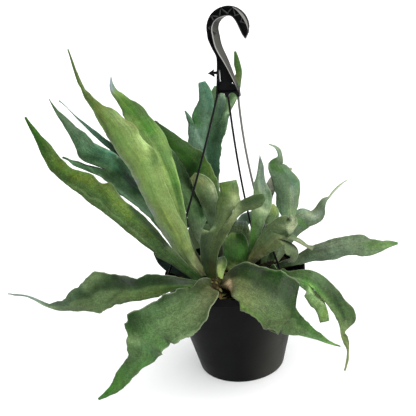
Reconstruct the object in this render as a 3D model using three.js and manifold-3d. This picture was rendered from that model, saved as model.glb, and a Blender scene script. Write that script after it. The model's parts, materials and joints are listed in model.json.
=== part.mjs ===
// Staghorn fern growing in a black plastic hanging pot. Millimetres, +Z up.
// The origin is the centre of the pot's foot, on the floor; -Y is the side of the picture.
import * as THREE from 'three';
import { mergeVertices } from 'three/addons/utils/BufferGeometryUtils.js';
import ManifoldModule from 'manifold-3d';

const wasm = await ManifoldModule();
wasm.setup();
const { Manifold, Mesh } = wasm;

// The driving dimensions.
const RIM_RADIUS = 100;        // an eight inch nursery pot
const POT_HEIGHT = 150;
const BASE_RADIUS = 61.7;
const WALL = 1.8;
const BAND_HEIGHT = 12;        // the stiff band round the rim
const BAND_STEP = 1.6;         // how far the band stands out from the wall
const FLOOR = 2.4;             // thickness of the pot's bottom
const DRAIN_RADIUS = 5;
const DRAIN_RING = 40;
const DRAIN_COUNT = 6;
const ROUND = 48;              // segments round the pot
const ROUND_SMALL = 16;        // segments round a drain hole
const FIT = 0.35;              // gap between pieces that touch

const MEDIUM_LEVEL = 139;
const MEDIUM_BUMP = 2.2;
const CROWN_FOOT = 126;

const BLADE = 1.4;             // thickness along a frond's middle
const MARGIN = 0.8;            // thickness at its edge
const STIPE = 1.6;             // what the stalk adds to the middle
const STIPE_LENGTH = 45;
const ROW_SPACING = 16;
const PICTURE_SIDE = [0, -0.94, 0.34];   // where an upper face looks at turn 0

const HANGER_PLACE = [12, 0];
const HANGER_TURN = THREE.MathUtils.degToRad(-15);
const HOOK_DEPTH = 9;
const HOOK_WEB = 3;
const FLANGE = 2;
const STRAND_RADIUS = 1.4;

const WALL_SLOPE = (RIM_RADIUS - BAND_STEP - BASE_RADIUS) / POT_HEIGHT;
const wallRadius = (z) => BASE_RADIUS + WALL_SLOPE * z;   // outside of the pot at height z

const rad = THREE.MathUtils.degToRad;
const v3 = (x, y, z) => new THREE.Vector3(x, y, z);

function toManifold(geometry) {
  const bare = new THREE.BufferGeometry();
  bare.setAttribute('position', geometry.getAttribute('position'));
  if (geometry.index) bare.setIndex(geometry.index);
  const merged = mergeVertices(bare, 1e-4);
  const mesh = new Mesh({
    numProp: 3,
    vertProperties: new Float32Array(merged.getAttribute('position').array),
    triVerts: new Uint32Array(merged.index.array),
  });
  mesh.merge();
  return new Manifold(mesh);
}

function toGeometry(solid) {
  const mesh = solid.getMesh();
  const geometry = new THREE.BufferGeometry();
  geometry.setAttribute('position', new THREE.BufferAttribute(mesh.vertProperties, 3));
  geometry.setIndex(new THREE.BufferAttribute(mesh.triVerts, 1));
  geometry.computeVertexNormals();
  return geometry;
}

const cut = (solid, tools) => tools.reduce((left, tool) => left.subtract(tool), solid);
const join = (solids) => solids.reduce((sum, solid) => sum.add(solid));

// A closed profile of [radius, height] points turned about the Z axis.
function turned(profile, segments = ROUND) {
  const points = profile.map(([r, z]) => new THREE.Vector2(r, z));
  return new THREE.LatheGeometry(points, segments).rotateX(Math.PI / 2);
}

function drum(radius, bottom, top) {
  return toManifold(turned([[0, bottom], [radius, bottom], [radius, top], [0, top]], ROUND_SMALL));
}

// Smooth curve through rows of numbers, by their distance along the first three.
function smoothRows(rows, spacing) {
  const place = [0];
  for (let i = 1; i < rows.length; i += 1) {
    const step = Math.hypot(...[0, 1, 2].map((k) => rows[i][k] - rows[i - 1][k]));
    place.push(place[i - 1] + step);
  }
  const slope = rows.map((row, i) => row.map((value, k) => {
    const before = Math.max(i - 1, 0);
    const after = Math.min(i + 1, rows.length - 1);
    if (before === i || after === i) {
      return (rows[after][k] - rows[before][k]) / (place[after] - place[before]);
    }
    const back = (value - rows[before][k]) / (place[i] - place[before]);
    const ahead = (rows[after][k] - value) / (place[after] - place[i]);
    const share = (place[i] - place[before]) / (place[after] - place[before]);
    return back * (1 - share) + ahead * share;
  }));
  const total = place[place.length - 1];
  const count = Math.max(2, Math.round(total / spacing));
  const samples = [];
  for (let j = 0; j <= count; j += 1) {
    const at = (total * j) / count;
    let i = 0;
    while (i < rows.length - 2 && at > place[i + 1]) i += 1;
    const span = place[i + 1] - place[i];
    const s = Math.min(1, (at - place[i]) / span);
    const a = 2 * s ** 3 - 3 * s ** 2 + 1;
    const b = s ** 3 - 2 * s ** 2 + s;
    const c = 3 * s ** 2 - 2 * s ** 3;
    const d = s ** 3 - s ** 2;
    samples.push(rows[i].map((value, k) => (
      a * value + b * span * slope[i][k] + c * rows[i + 1][k] + d * span * slope[i + 1][k])));
  }
  return { samples, total };
}

// One ribbon of a frond: rows of [x, y, z, left, right, turn, curl] from base to tip.
// left and right are the half widths beside the midrib, turn rolls the blade about it and
// curl bends each half away from the upper face, both in degrees.
function ribbon(spec, columns, spacing, grow = 0) {
  const { samples, total } = smoothRows(spec.rows, spacing);
  const face = v3(...(spec.face ?? PICTURE_SIDE)).normalize();
  const keel = (spec.keel ?? [0, 0]).map(rad);
  const wave = spec.wave ?? [0, 1, 0];       // ruffle of the margin: height, count, phase
  const scallop = spec.scallop ?? [0, 1, 0]; // cut of the margin: share, count, phase
  return samples.map((sample, j) => {
    const t = j / (samples.length - 1);
    const ahead = samples[Math.min(j + 1, samples.length - 1)];
    const back = samples[Math.max(j - 1, 0)];
    const along = v3(ahead[0] - back[0], ahead[1] - back[1], ahead[2] - back[2]).normalize();
    const flat = face.clone().addScaledVector(along, -face.dot(along)).normalize();
    const side = along.clone().cross(flat);
    const turn = rad(sample[5]);
    const up = flat.clone().multiplyScalar(Math.cos(turn)).addScaledVector(side, Math.sin(turn));
    const across = along.clone().cross(up);
    const row = [];
    for (let i = 0; i <= columns; i += 1) {
      const v = (2 * i) / columns - 1;
      const half = v < 0 ? 0 : 1;
      const a = Math.abs(v);
      const phase = 2 * Math.PI * scallop[1] * t + scallop[2] + half * 1.3;
      const ends = Math.sin(Math.PI * t);
      const cutBack = 1 + scallop[0] * ends * Math.sin(phase);
      const width = Math.max(0.7, sample[3 + half]) * cutBack + grow;
      const k = keel[half];
      const c = Math.max(0.02, rad(Math.abs(sample[6]))) * (sample[6] < 0 ? -1 : 1);
      const lateral = (width * (Math.sin(k + c * a) - Math.sin(k))) / c;
      const drop = (width * (Math.cos(k) - Math.cos(k + c * a))) / c;
      const ruffle = wave[0] * a * a * ends * Math.sin(2 * Math.PI * wave[1] * t + wave[2] + half * 2);
      const point = v3(sample[0], sample[1], sample[2])
        .addScaledVector(across, Math.sign(v) * lateral)
        .addScaledVector(up, ruffle - drop);
      if (j === 0) point.addScaledVector(along, -2 * grow);
      row.push({ point, edge: a, from: t * total });
    }
    return row;
  });
}

// Grows a frond as one sheet: a trunk ribbon whose last row is shared by the ribbons of its
// lobes, then thickens the sheet into a closed solid.
function frondGeometry(spec, grow = 0, keep = Infinity) {
  const nodes = [];
  const quads = [];
  const columns = spec.columns ?? 4;
  const spacing = spec.spacing ?? ROW_SPACING;
  const lay = (rows, shared) => {
    const ids = rows.map((row, j) => {
      if (j === 0 && shared) return shared;
      return row.map((node) => nodes.push(node) - 1);
    });
    for (let j = 1; j < ids.length; j += 1) {
      for (let i = 1; i < ids[j].length; i += 1) {
        quads.push([ids[j - 1][i - 1], ids[j - 1][i], ids[j][i], ids[j][i - 1]]);
      }
    }
    return ids[ids.length - 1];
  };
  const trunk = ribbon(spec, columns, spacing, grow).filter((row) => row[0].from <= keep);
  const last = lay(trunk, null);
  const stem = trunk[trunk.length - 1][0].from;
  if (keep === Infinity) {
    for (const lobe of spec.lobes ?? []) {
      const [first, end] = lobe.columns;
      const shared = last.slice(first, end + 1);
      const rows = ribbon({ ...lobe, face: spec.face }, end - first, lobe.spacing ?? spacing);
      const shift = shared.map((id, i) => nodes[id].point.clone().sub(rows[0][i].point));
      const blend = Math.max(2, Math.round(rows.length / 2));
      rows.forEach((row, j) => row.forEach((node, i) => {
        node.from += stem;
        if (j < blend) node.point.addScaledVector(shift[i], (1 - j / blend) ** 2);
      }));
      lay(rows, shared);
    }
  }
  return thicken(nodes, quads, grow);
}

// Both faces are split into triangles along the same diagonals, so a waved sheet never
// crosses itself; the open edges are closed with walls.
function thicken(nodes, quads, grow) {
  const normals = nodes.map(() => v3(0, 0, 0));
  for (const [a, b, c, d] of quads) {
    const one = nodes[c].point.clone().sub(nodes[a].point);
    const two = nodes[d].point.clone().sub(nodes[b].point);
    const normal = one.cross(two);
    for (const id of [a, b, c, d]) normals[id].add(normal);
  }
  const positions = [];
  const faceOf = (sign) => nodes.forEach((node, id) => {
    const stalk = Math.max(0, 1 - node.from / STIPE_LENGTH) ** 2;
    const middle = BLADE + STIPE * stalk;
    const thick = middle + (MARGIN + STIPE * 0.6 * stalk - middle) * node.edge ** 2;
    const half = thick / 2 + grow;
    const point = node.point.clone().addScaledVector(normals[id].normalize(), sign * half);
    positions.push(point.x, point.y, point.z);
  });
  faceOf(1);
  faceOf(-1);
  const count = nodes.length;
  const index = [];
  const open = new Map();
  for (const quad of quads) {
    const [a, b, c, d] = quad;
    index.push(a, b, c, a, c, d);
    index.push(count + a, count + c, count + b, count + a, count + d, count + c);
    quad.forEach((from, i) => {
      const to = quad[(i + 1) % 4];
      if (!open.delete(`${to}:${from}`)) open.set(`${from}:${to}`, [from, to]);
    });
  }
  for (const [from, to] of open.values()) {
    index.push(to, from, count + from, to, count + from, count + to);
  }
  const geometry = new THREE.BufferGeometry();
  geometry.setAttribute('position', new THREE.Float32BufferAttribute(positions, 3));
  geometry.setIndex(index);
  geometry.computeVertexNormals();
  return geometry;
}

const GREEN = {
  olive: '#7d9655', fresh: '#6a9a4e', grass: '#587d36', blue: '#3f6b55', deep: '#2c4a3c',
  sea: '#5a8069', grey: '#6a7a58', pale: '#93a878', dark: '#3d5230', bright: '#4f8a32',
};

const FRONDS = [
  { name: 'frond_front_left', crown: 'left', colour: GREEN.grass, columns: 6, spacing: 11,
    wave: [2.5, 6, 0.4], scallop: [0.05, 9, 0],
    rows: [
      [-33, -52, 150, 4, 4, 20, 0], [-37, -72, 158, 17, 17, 36, 6], [-45, -92, 158, 27, 25, 40, 8],
      [-62, -103, 150, 32, 29, 28, 10], [-86, -108, 136, 33, 31, 15, 10], [-109, -109, 125, 30, 31, 10, 8],
      [-118, -110, 115, 31, 37, 7, 8], [-127, -110, 104, 32, 27, 5, 8],
      [-132, -109, 94, 26, 25, 2, 8], [-136, -108, 84, 20, 18, 0, 8],
      [-154, -103, 60, 11, 11, 0, 8], [-175, -97, 32, 7, 6, 0, 5], [-202, -93, 12, 1.5, 1.5, 0, 0],
    ] },
  { name: 'frond_left_level', crown: 'left', colour: GREEN.dark, columns: 6, wave: [4, 4, 1],
    rows: [
      [-46, -52, 152, 4, 4, 20, 0], [-77, -65, 161, 5, 11, 15, 12], [-103, -64, 162, 14, 15, 5, 15],
      [-133, -63, 157, 14, 15, 0, 18], [-159, -62, 160, 20, 20, 0, 20],
      [-185, -61, 158, 27.5, 27.5, 0, 22], [-209, -60, 150, 17, 17, 0, 20],
      [-229, -57, 146, 12, 12, 0, 15], [-249, -52, 139, 5, 5, 0, 10],
      [-266, -45, 140, 2.5, 2.5, 0, 5], [-289, -35, 148, 1.5, 1.5, 0, 0],
      [-323, -20, 148, 1, 1, 0, 0],
    ] },
  { name: 'frond_left_rising', crown: 'left', colour: GREEN.grass, wave: [2.5, 6, 2],
    rows: [
      [-46, -44, 151, 4, 4, 0, 0], [-70, -42, 179, 8, 8, 0, 15], [-95, -36, 202, 9, 9, 0, 15],
      [-118, -28, 228, 12, 12, 0, 15], [-141, -21, 248, 14, 14, 0, 15],
      [-161, -13, 267, 15.5, 15.5, 0, 15], [-179, -5, 282, 16.5, 16.5, 0, 15],
      [-200, 3, 298, 15.5, 15.5, 0, 15], [-221, 12, 312, 11.5, 11.5, 0, 12],
      [-236, 19, 324, 10.5, 10.5, 0, 10], [-246, 27, 343, 7.5, 7.5, 0, 8], [-258, 35, 361, 4, 4, 0, 5],
      [-271, 44, 385, 1.5, 1.5, 0, 0],
    ] },
  { name: 'frond_left_broad', crown: 'left', colour: GREEN.blue, columns: 6, wave: [2, 3, 0],
    rows: [
      [-46, -30, 150, 4, 4, 0, 0], [-74, -5, 196, 8, 8, 0, 8], [-92, 2, 225, 12, 12, 0, 10],
      [-110, 9, 250, 16.5, 16.5, 0, 12], [-129, 17, 270, 18.5, 18.5, 0, 15],
      [-146, 28, 291, 19.5, 19.5, 0, 15], [-165, 38, 306, 19.5, 19.5, 0, 12],
    ],
    lobes: [
      { columns: [0, 2], rows: [
        [-182, 43, 302, 8.5, 6, 0, 5], [-197, 48, 307, 5.5, 5.5, 0, 5], [-213, 53, 313, 3, 3, 0, 0],
        [-233, 60, 319, 1.5, 1.5, 0, 0]] },
      { columns: [2, 6], rows: [
        [-174, 43, 314, 13.5, 16.5, 0, 12], [-194, 53, 332, 13.5, 13.5, 0, 10],
        [-203, 58, 345, 10.5, 10.5, 0, 8],
        [-214, 64, 359, 8, 8, 0, 5], [-225, 70, 375, 5.5, 5.5, 0, 5], [-235, 76, 388, 2.5, 2.5, 0, 0],
        [-242, 81, 401, 1.5, 1.5, 0, 0]] },
    ] },
  { name: 'frond_left_narrow', crown: 'left', colour: GREEN.deep,
    rows: [
      [-41, -22, 149, 3.5, 3.5, 0, 0], [-75, 19, 199, 9, 9, 0, 5], [-101, 37, 248, 13.5, 13.5, 0, 8],
      [-127, 56, 295, 14.5, 14.5, 0, 8], [-150, 68, 318, 12.5, 12.5, 0, 8], [-172, 80, 335, 8.5, 8.5, 0, 6],
      [-191, 89, 349, 4, 4, 0, 4], [-207, 98, 365, 3, 3, 0, 2], [-222, 106, 381, 1.5, 1.5, 0, 0],
      [-237, 113, 392, 1.5, 1.5, 0, 0],
    ] },
  { name: 'frond_tall_front', crown: 'left', colour: GREEN.olive, columns: 6,
    keel: [35, 0], wave: [2, 5, 0],
    rows: [
      [-37, -40, 150, 4, 4, 0, 0], [-63, -39, 198, 12, 10, 0, 10], [-77, -39, 243, 23, 17, 0, 14],
      [-88, -38, 271, 27, 20, 0, 16], [-97, -36, 304, 31, 23, 0, 18],
      [-107, -32, 332, 35, 25, 0, 18], [-120, -27, 356, 30, 22, 0, 16],
      [-132, -22, 377, 27, 18, 0, 14], [-145, -17, 392, 15, 9, 0, 12],
      [-156, -13, 402, 9, 5.5, 0, 10], [-167, -9, 412, 4.5, 4, 0, 8], [-176, -4, 426, 3, 2.5, 0, 5],
      [-185, 3, 446, 2, 1.5, 0, 0], [-191, 11, 474, 1, 1, 0, 0],
    ] },
  { name: 'frond_tall_behind', crown: 'left', colour: GREEN.fresh, wave: [2, 4, 1],
    rows: [
      [-33, -31, 150, 3.5, 3.5, 0, 0], [-52, -28, 184, 5, 5, 0, 8], [-63, -27, 216, 5.5, 5.5, 0, 10],
      [-68, -22, 253, 8.5, 8.5, 0, 12], [-75, -13, 287, 12, 12, 0, 14],
      [-85, 0, 317, 15.5, 15.5, 0, 15], [-96, 14, 343, 19, 19, 0, 15],
      [-108, 25, 364, 18.5, 18.5, 0, 14], [-122, 37, 386, 14.5, 14.5, 0, 12],
      [-135, 46, 397, 8.5, 8.5, 0, 10],
      [-145, 54, 409, 5, 5, 0, 8], [-148, 59, 418, 2.5, 2.5, 0, 4], [-148, 64, 426, 1.5, 1.5, 0, 0],
    ] },
  { name: 'frond_arching', crown: 'back', colour: GREEN.dark, wave: [2, 3, 0],
    rows: [
      [-12, 40, 150, 4, 4, 0, 0], [-18, 41, 202, 11, 11, 0, 10], [-25, 39, 246, 17, 17, 0, 14],
      [-29, 36, 276, 22.5, 22.5, 0, 16], [-39, 34, 300, 19.5, 19.5, 0, 16],
      [-52, 33, 317, 14.5, 14.5, 0, 14], [-66, 33, 332, 10, 10, 0, 10], [-81, 34, 349, 7, 7, 0, 6],
      [-97, 35, 361, 2, 2, 0, 0],
    ] },
  { name: 'frond_rolled', crown: 'back', colour: GREEN.pale,
    rows: [
      [-18, 30, 150, 4, 4, 180, 0], [-21, 6, 206, 6.5, 6.5, 180, 5], [-26, 3, 234, 9, 9, 180, 15],
      [-27, 1, 256, 13, 13, 180, 25], [-31, 0, 272, 14.5, 14.5, 180, 28],
      [-39, 2, 284, 11, 11, 180, 25], [-46, 5, 291, 5, 5, 180, 10],
    ] },
  { name: 'frond_back_lobed', crown: 'back', colour: GREEN.sea, columns: 6, wave: [2, 4, 0.5],
    rows: [
      [-19, 58, 150, 4, 4, 0, 0], [-23, 68, 207, 10, 10, 0, 8], [-26, 72, 247, 14, 14, 0, 10],
      [-27, 75, 279, 19.5, 19.5, 0, 12], [-27, 77, 307, 23, 23, 0, 12],
      [-25, 78, 324, 25.5, 25.5, 0, 12], [-22, 79, 341, 26.5, 26.5, 0, 12],
    ],
    lobes: [
      { columns: [0, 1], spacing: 8, rows: [
        [-43, 79, 344, 4, 4, 0, 0], [-46, 81, 355, 3, 3, 0, 0], [-51, 81, 366, 1, 1, 0, 0]] },
      { columns: [1, 3], rows: [
        [-31, 78, 344, 9.5, 9.5, 0, 5], [-28, 80, 361, 11.5, 11.5, 0, 8], [-21, 81, 377, 9.5, 9.5, 0, 8],
        [-21, 82, 392, 8.5, 8.5, 0, 8], [-23, 82, 405, 4.5, 4.5, 0, 0]] },
      { columns: [3, 4], rows: [
        [-12, 78, 344, 6, 6, 0, 5], [-6, 80, 361, 7.5, 7.5, 0, 5], [-3, 82, 382, 7, 7, 0, 5],
        [-2, 83, 397, 2.5, 2.5, 0, 0]] },
      { columns: [4, 6], rows: [
        [-1, 77, 342, 7, 7, -15, 5], [8, 78, 362, 7, 7, -20, 5], [23, 78, 381, 5.5, 5.5, 0, 5],
        [29, 80, 402, 3.5, 3.5, 0, 5], [30, 81, 421, 4, 4, 0, 5], [28, 83, 443, 1.5, 1.5, 0, 0]] },
    ] },
  { name: 'frond_centre_forked', crown: 'left', colour: GREEN.dark, columns: 6, spacing: 11,
    rows: [
      [-29, -48, 150, 4, 4, 0, 0], [-33, -51, 178, 9.5, 9.5, 0, 15],
      [-31, -53, 202, 13, 13, 0, 15], [-23, -56, 228, 18, 18, 0, 12],
    ],
    lobes: [
      { columns: [2, 4], rows: [
        [-17, -56, 231, 6, 7, 0, 8], [-9, -58, 246, 10, 10, 0, 12], [-5, -59, 265, 12, 12, 0, 15],
        [0, -59, 281, 12, 12, 0, 15], [2, -57, 296, 11, 11, 0, 10]] },
      { columns: [4, 6], rows: [
        [-11, -58, 230, 7, 7, 5, 5], [7, -65, 253, 5, 5, 20, 5], [17, -70, 265, 8, 8, 25, 10],
        [27, -76, 272, 8, 8, 25, 15], [35, -79, 277, 7, 7, 20, 15], [45, -81, 282, 2, 2, 0, 5]] },
    ] },
  { name: 'frond_upright', crown: 'centre', colour: GREEN.sea,
    rows: [
      [19, -14, 150, 4, 4, 0, 0], [25, -28, 181, 5.5, 5.5, 0, 8], [31, -42, 210, 7, 7, 0, 10],
      [36, -52, 236, 9, 9, 0, 10], [41, -57, 258, 12, 12, 0, 10], [43, -58, 274, 10, 10, 0, 10],
      [43, -57, 289, 7.5, 7.5, 0, 10], [45, -56, 308, 5, 5, 0, 8], [45, -55, 327, 1.2, 1.2, 0, 0],
    ] },
  { name: 'frond_right_tall', crown: 'right', colour: GREEN.sea, columns: 6, wave: [1.5, 3, 0],
    rows: [
      [50, 9, 143, 4, 4, 0, 0], [65, 15, 177, 6.5, 6.5, 0, 10], [79, 21, 202, 9, 9, 0, 15],
      [82, 25, 224, 15, 15, 0, 18], [84, 26, 243, 18, 18, 0, 20], [82, 28, 259, 20.5, 20.5, 0, 20],
      [79, 29, 275, 19, 19, 0, 20], [73, 29, 288, 10, 10, 0, 15], [77, 30, 299, 3.5, 3.5, 0, 5],
      [76, 31, 309, 2.5, 2.5, 0, 0], [63, 32, 318, 1, 1, 0, 0],
    ] },
  { name: 'frond_right_curl', crown: 'right', colour: GREEN.sea, wave: [1.5, 3, 1],
    rows: [
      [56, 16, 143, 4, 4, 0, 0], [75, 29, 165, 7.5, 7.5, 0, 8], [91, 37, 184, 8.5, 8.5, 0, 12],
      [106, 43, 200, 14.5, 14.5, 0, 16], [122, 45, 203, 11, 11, 0, 18], [133, 47, 210, 9.5, 9.5, 0, 15],
      [139, 49, 219, 5.5, 5.5, 0, 10], [145, 50, 228, 3, 3, 0, 4], [157, 53, 238, 2.5, 2.5, 0, 0],
      [174, 55, 248, 1.5, 1.5, 0, 0],
    ] },
  { name: 'frond_right_folded', crown: 'centre', colour: GREEN.grey, columns: 6, spacing: 11,
    rows: [
      [14, -27, 150, 4, 4, -10, 0], [26, -44, 180, 6.5, 6.5, -10, 8],
      [40, -60, 203, 12, 12, -10, 12], [56, -70, 222, 18.5, 18.5, -10, 15],
    ],
    lobes: [
      { columns: [0, 2], spacing: 8, rows: [
        [57, -70, 234, 8, 8, 0, 10], [69, -72, 241, 8, 7, 0, 15], [77, -75, 243, 5, 5, 0, 20],
        [78, -77, 251, 1.2, 1.2, 0, 0]] },
      { columns: [2, 4], spacing: 9, rows: [
        [62, -71, 224, 7, 7, -10, 10], [75, -73, 223, 6.5, 6.5, -10, 10], [85, -74, 217, 5, 5, -10, 10],
        [93, -76, 208, 2, 2, 0, 0], [103, -78, 201, 1.2, 1.2, 0, 0]] },
      { columns: [4, 6], spacing: 8, rows: [
        [63, -71, 212, 8, 8, -15, 10], [72, -73, 206, 8, 8, -20, 10], [79, -75, 198, 7, 7, -20, 10],
        [77, -77, 184, 1.2, 1.2, 0, 0]] },
    ] },
  { name: 'frond_right_level', crown: 'right', colour: GREEN.grass, wave: [2, 4, 0],
    rows: [
      [52, -8, 146, 3.5, 3.5, 0, 0], [69, -9, 153, 4.5, 4.5, 0, 8], [92, -6, 157, 5.5, 5.5, 0, 10],
      [113, -3, 162, 10.5, 10.5, 0, 14], [136, 0, 164, 14, 14, 0, 16],
      [161, 3, 168, 14, 14, 0, 16], [179, 6, 166, 15.5, 15.5, 0, 14],
      [194, 7, 162, 14.5, 14.5, 0, 12], [210, 9, 161, 9, 9, 0, 8], [223, 11, 162, 4.5, 4.5, 0, 4],
      [236, 12, 161, 1.5, 1.5, 0, 0],
    ] },
  { name: 'frond_front_right', crown: 'left', colour: GREEN.grass, columns: 6, spacing: 11,
    wave: [2.5, 5, 0], scallop: [0.05, 8, 1],
    rows: [
      [-22, -51, 150, 4, 4, -20, 0], [-7, -72, 164, 15, 14, -24, 12], [6, -91, 170, 25, 25, -26, 16],
      [23, -102, 163, 31, 31, -24, 18], [39, -110, 155, 35, 36, -22, 20],
      [57, -115, 146, 30, 36, -18, 20], [64, -116, 140, 29, 30, -15, 19],
      [71, -116, 134, 13, 25, -12, 18], [76, -115, 119, 7, 13, -6, 14],
      [86, -113, 106, 9.5, 9.5, 0, 10], [101, -110, 92, 5, 5, 0, 6],
      [116, -107, 79, 2.5, 2.5, 0, 2], [130, -104, 70, 1.2, 1.2, 0, 0],
    ] },
  { name: 'frond_right_hanging', crown: 'right', colour: GREEN.grass, columns: 6,
    rows: [
      [46, -15, 145, 3.5, 3.5, -5, 0], [58, -43, 157, 6, 4, -10, 8], [82, -68, 158, 11, 7, -12, 12],
      [97, -76, 156, 15, 15, -10, 15],
    ],
    lobes: [
      { columns: [0, 4], spacing: 11, rows: [
        [101, -78, 157, 10, 10, -10, 15], [113, -80, 149, 11, 11, -10, 15],
        [124, -84, 136, 11.5, 11.5, -5, 15], [133, -88, 122, 12, 12, 0, 18],
        [141, -91, 104, 14, 14, 0, 20], [139, -91, 89, 5, 6, 0, 15], [141, -89, 71, 4, 4, 0, 5],
        [143, -87, 58, 2.5, 2.5, 0, 0], [143, -85, 41, 1.2, 1.2, 0, 0], [138, -83, 20, 1.2, 1.2, 0, 0]] },
      { columns: [4, 6], spacing: 10, rows: [
        [96, -77, 148, 6, 6, -10, 8], [99, -79, 137, 7.5, 7.5, -10, 10], [106, -84, 127, 7.5, 7.5, -5, 12],
        [111, -89, 115, 6.5, 6.5, 0, 12], [113, -91, 102, 6, 6, 0, 5]] },
    ] },
  { name: 'frond_low_dark', crown: 'left', colour: GREEN.deep,
    rows: [
      [-51, -37, 151, 3.5, 3.5, 10, 0], [-79, -16, 160, 6, 6, 10, 8], [-94, -6, 164, 7, 7, 10, 10],
      [-104, 3, 169, 5, 5, 5, 8], [-113, 10, 179, 1.2, 1.2, 0, 0],
    ] },
  { name: 'shield_young', crown: 'centre', colour: GREEN.bright, spacing: 10,
    rows: [
      [3, -20, 150, 6, 6, 0, 20], [3, -23, 165, 12, 12, 0, 20], [3, -27, 179, 14.5, 14.5, 0, 20],
      [6, -28, 194, 15, 15, 0, 25], [7, -26, 206, 11, 11, 0, 25], [7, -23, 213, 5, 5, 0, 15],
    ] },
  { name: 'shield_old', crown: 'centre', colour: '#6d6a5e', spacing: 12,
    rows: [
      [10, -4, 149, 6, 6, 0, 20], [13, -6, 168, 10, 10, 0, 15], [14, -9, 189, 12, 12, 0, 15],
      [14, -11, 209, 11, 11, 0, 20], [16, -9, 223, 6, 6, 0, 15],
    ] },
  { name: 'frond_bud', crown: 'left', colour: GREEN.pale, spacing: 9,
    rows: [
      [-21, -42, 150, 2.5, 2.5, 0, 0], [-19, -45, 168, 5.5, 5.5, 0, 15], [-16, -46, 180, 7, 7, 0, 20],
      [-17, -46, 188, 5, 5, 0, 15],
    ] },
  { name: 'frond_strap', crown: 'back', colour: GREEN.grey,
    rows: [
      [-26, 38, 150, 4, 4, 0, 0], [-50, 35, 194, 6, 6, 0, 8], [-57, 41, 236, 7.5, 7.5, 0, 10],
      [-61, 45, 268, 9, 9, 0, 12], [-64, 47, 292, 9.5, 9.5, 0, 12], [-71, 49, 315, 7, 7, 0, 10],
      [-77, 53, 333, 2, 2, 0, 0],
    ] },
  { name: 'frond_young_green', crown: 'right', colour: GREEN.bright, spacing: 12,
    rows: [
      [41, 6, 145, 3.5, 3.5, 0, 0], [50, 16, 175, 6, 6, 0, 10], [58, 20, 205, 8, 8, 0, 15],
      [62, 21, 222, 8, 8, 0, 15], [60, 22, 233, 4, 4, 0, 10],
    ] },
  { name: 'frond_back_right', crown: 'right', colour: GREEN.dark,
    rows: [
      [42, 14, 144, 3.5, 3.5, 0, 0], [46, 40, 190, 8, 8, 0, 10], [52, 46, 225, 9, 9, 0, 12],
      [60, 46, 246, 8, 8, 0, 12], [72, 44, 264, 8, 8, 0, 12], [86, 42, 274, 5, 5, 0, 8],
      [94, 40, 278, 1.5, 1.5, 0, 0],
    ] },
  { name: 'frond_back_crossing', crown: 'back', colour: GREEN.blue, spacing: 14,
    rows: [
      [-2, 46, 149, 3.5, 3.5, 0, 0], [8, 50, 180, 7, 7, 0, 5], [2, 52, 200, 9, 9, 0, 10],
      [-20, 50, 211, 9, 9, 0, 12], [-45, 48, 212, 10, 10, 0, 12], [-66, 46, 205, 6, 6, 0, 8],
      [-80, 44, 196, 1.5, 1.5, 0, 0],
    ] },
  { name: 'frond_back_hanging', crown: 'back', colour: GREEN.grass, face: [0, 0.5, 0.87],
    rows: [
      [-20, 64, 148, 4, 4, 0, 0], [-26, 90, 172, 12, 12, 0, 8], [-34, 118, 178, 22, 22, 0, 12],
      [-44, 146, 162, 26, 26, 0, 14], [-54, 166, 130, 20, 20, 0, 12], [-62, 176, 92, 12, 12, 0, 10],
      [-66, 178, 62, 2, 2, 0, 0],
    ] },
  { name: 'frond_back_level', crown: 'back', colour: GREEN.sea, face: [0, 0.3, 0.95], columns: 6,
    rows: [
      [-4, 58, 148, 4, 4, 0, 0], [14, 86, 176, 10, 10, 0, 10], [36, 114, 190, 17, 17, 0, 14],
      [62, 138, 186, 20, 20, 0, 16],
    ],
    lobes: [
      { columns: [0, 3], rows: [
        [64, 144, 183, 9, 9, 0, 10], [68, 166, 170, 10, 10, 0, 12], [70, 184, 148, 2, 2, 0, 0]] },
      { columns: [3, 6], rows: [
        [66, 142, 184, 9, 9, 0, 10], [96, 148, 172, 10, 10, 0, 12], [122, 150, 150, 8, 8, 0, 8],
        [138, 150, 126, 1.5, 1.5, 0, 0]] },
    ] },
];

const CROWNS = {
  left: { centre: [-35, -41], radius: 25, top: 160 },
  centre: { centre: [11, -15], radius: 19, top: 158 },
  right: { centre: [50, 0], radius: 21, top: 152 },
  back: { centre: [-16, 46], radius: 24, top: 158 },
};

function mesh(name, geometry, colour, roughness, metalness = 0) {
  const material = new THREE.MeshStandardMaterial({ color: colour, roughness, metalness });
  const made = new THREE.Mesh(geometry, material);
  made.name = name;
  return made;
}

function pot() {
  const bandFoot = POT_HEIGHT - BAND_HEIGHT;
  const lip = 0.8;
  const shell = toManifold(turned([
    [0, 0], [BASE_RADIUS - 1, 0], [BASE_RADIUS, 1], [wallRadius(bandFoot), bandFoot],
    [RIM_RADIUS, bandFoot + 1], [RIM_RADIUS, POT_HEIGHT - lip], [RIM_RADIUS - lip, POT_HEIGHT],
    [RIM_RADIUS - WALL - 0.6, POT_HEIGHT], [wallRadius(bandFoot) - WALL, bandFoot - 1],
    [wallRadius(FLOOR) - WALL, FLOOR], [0, FLOOR],
  ]));
  const drains = [];
  for (let i = 0; i < DRAIN_COUNT; i += 1) {
    const angle = (2 * Math.PI * i) / DRAIN_COUNT;
    drains.push(drum(DRAIN_RADIUS, -1, FLOOR + 1)
      .translate([DRAIN_RING * Math.cos(angle), DRAIN_RING * Math.sin(angle), 0]));
  }
  return cut(shell, drains);
}

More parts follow.
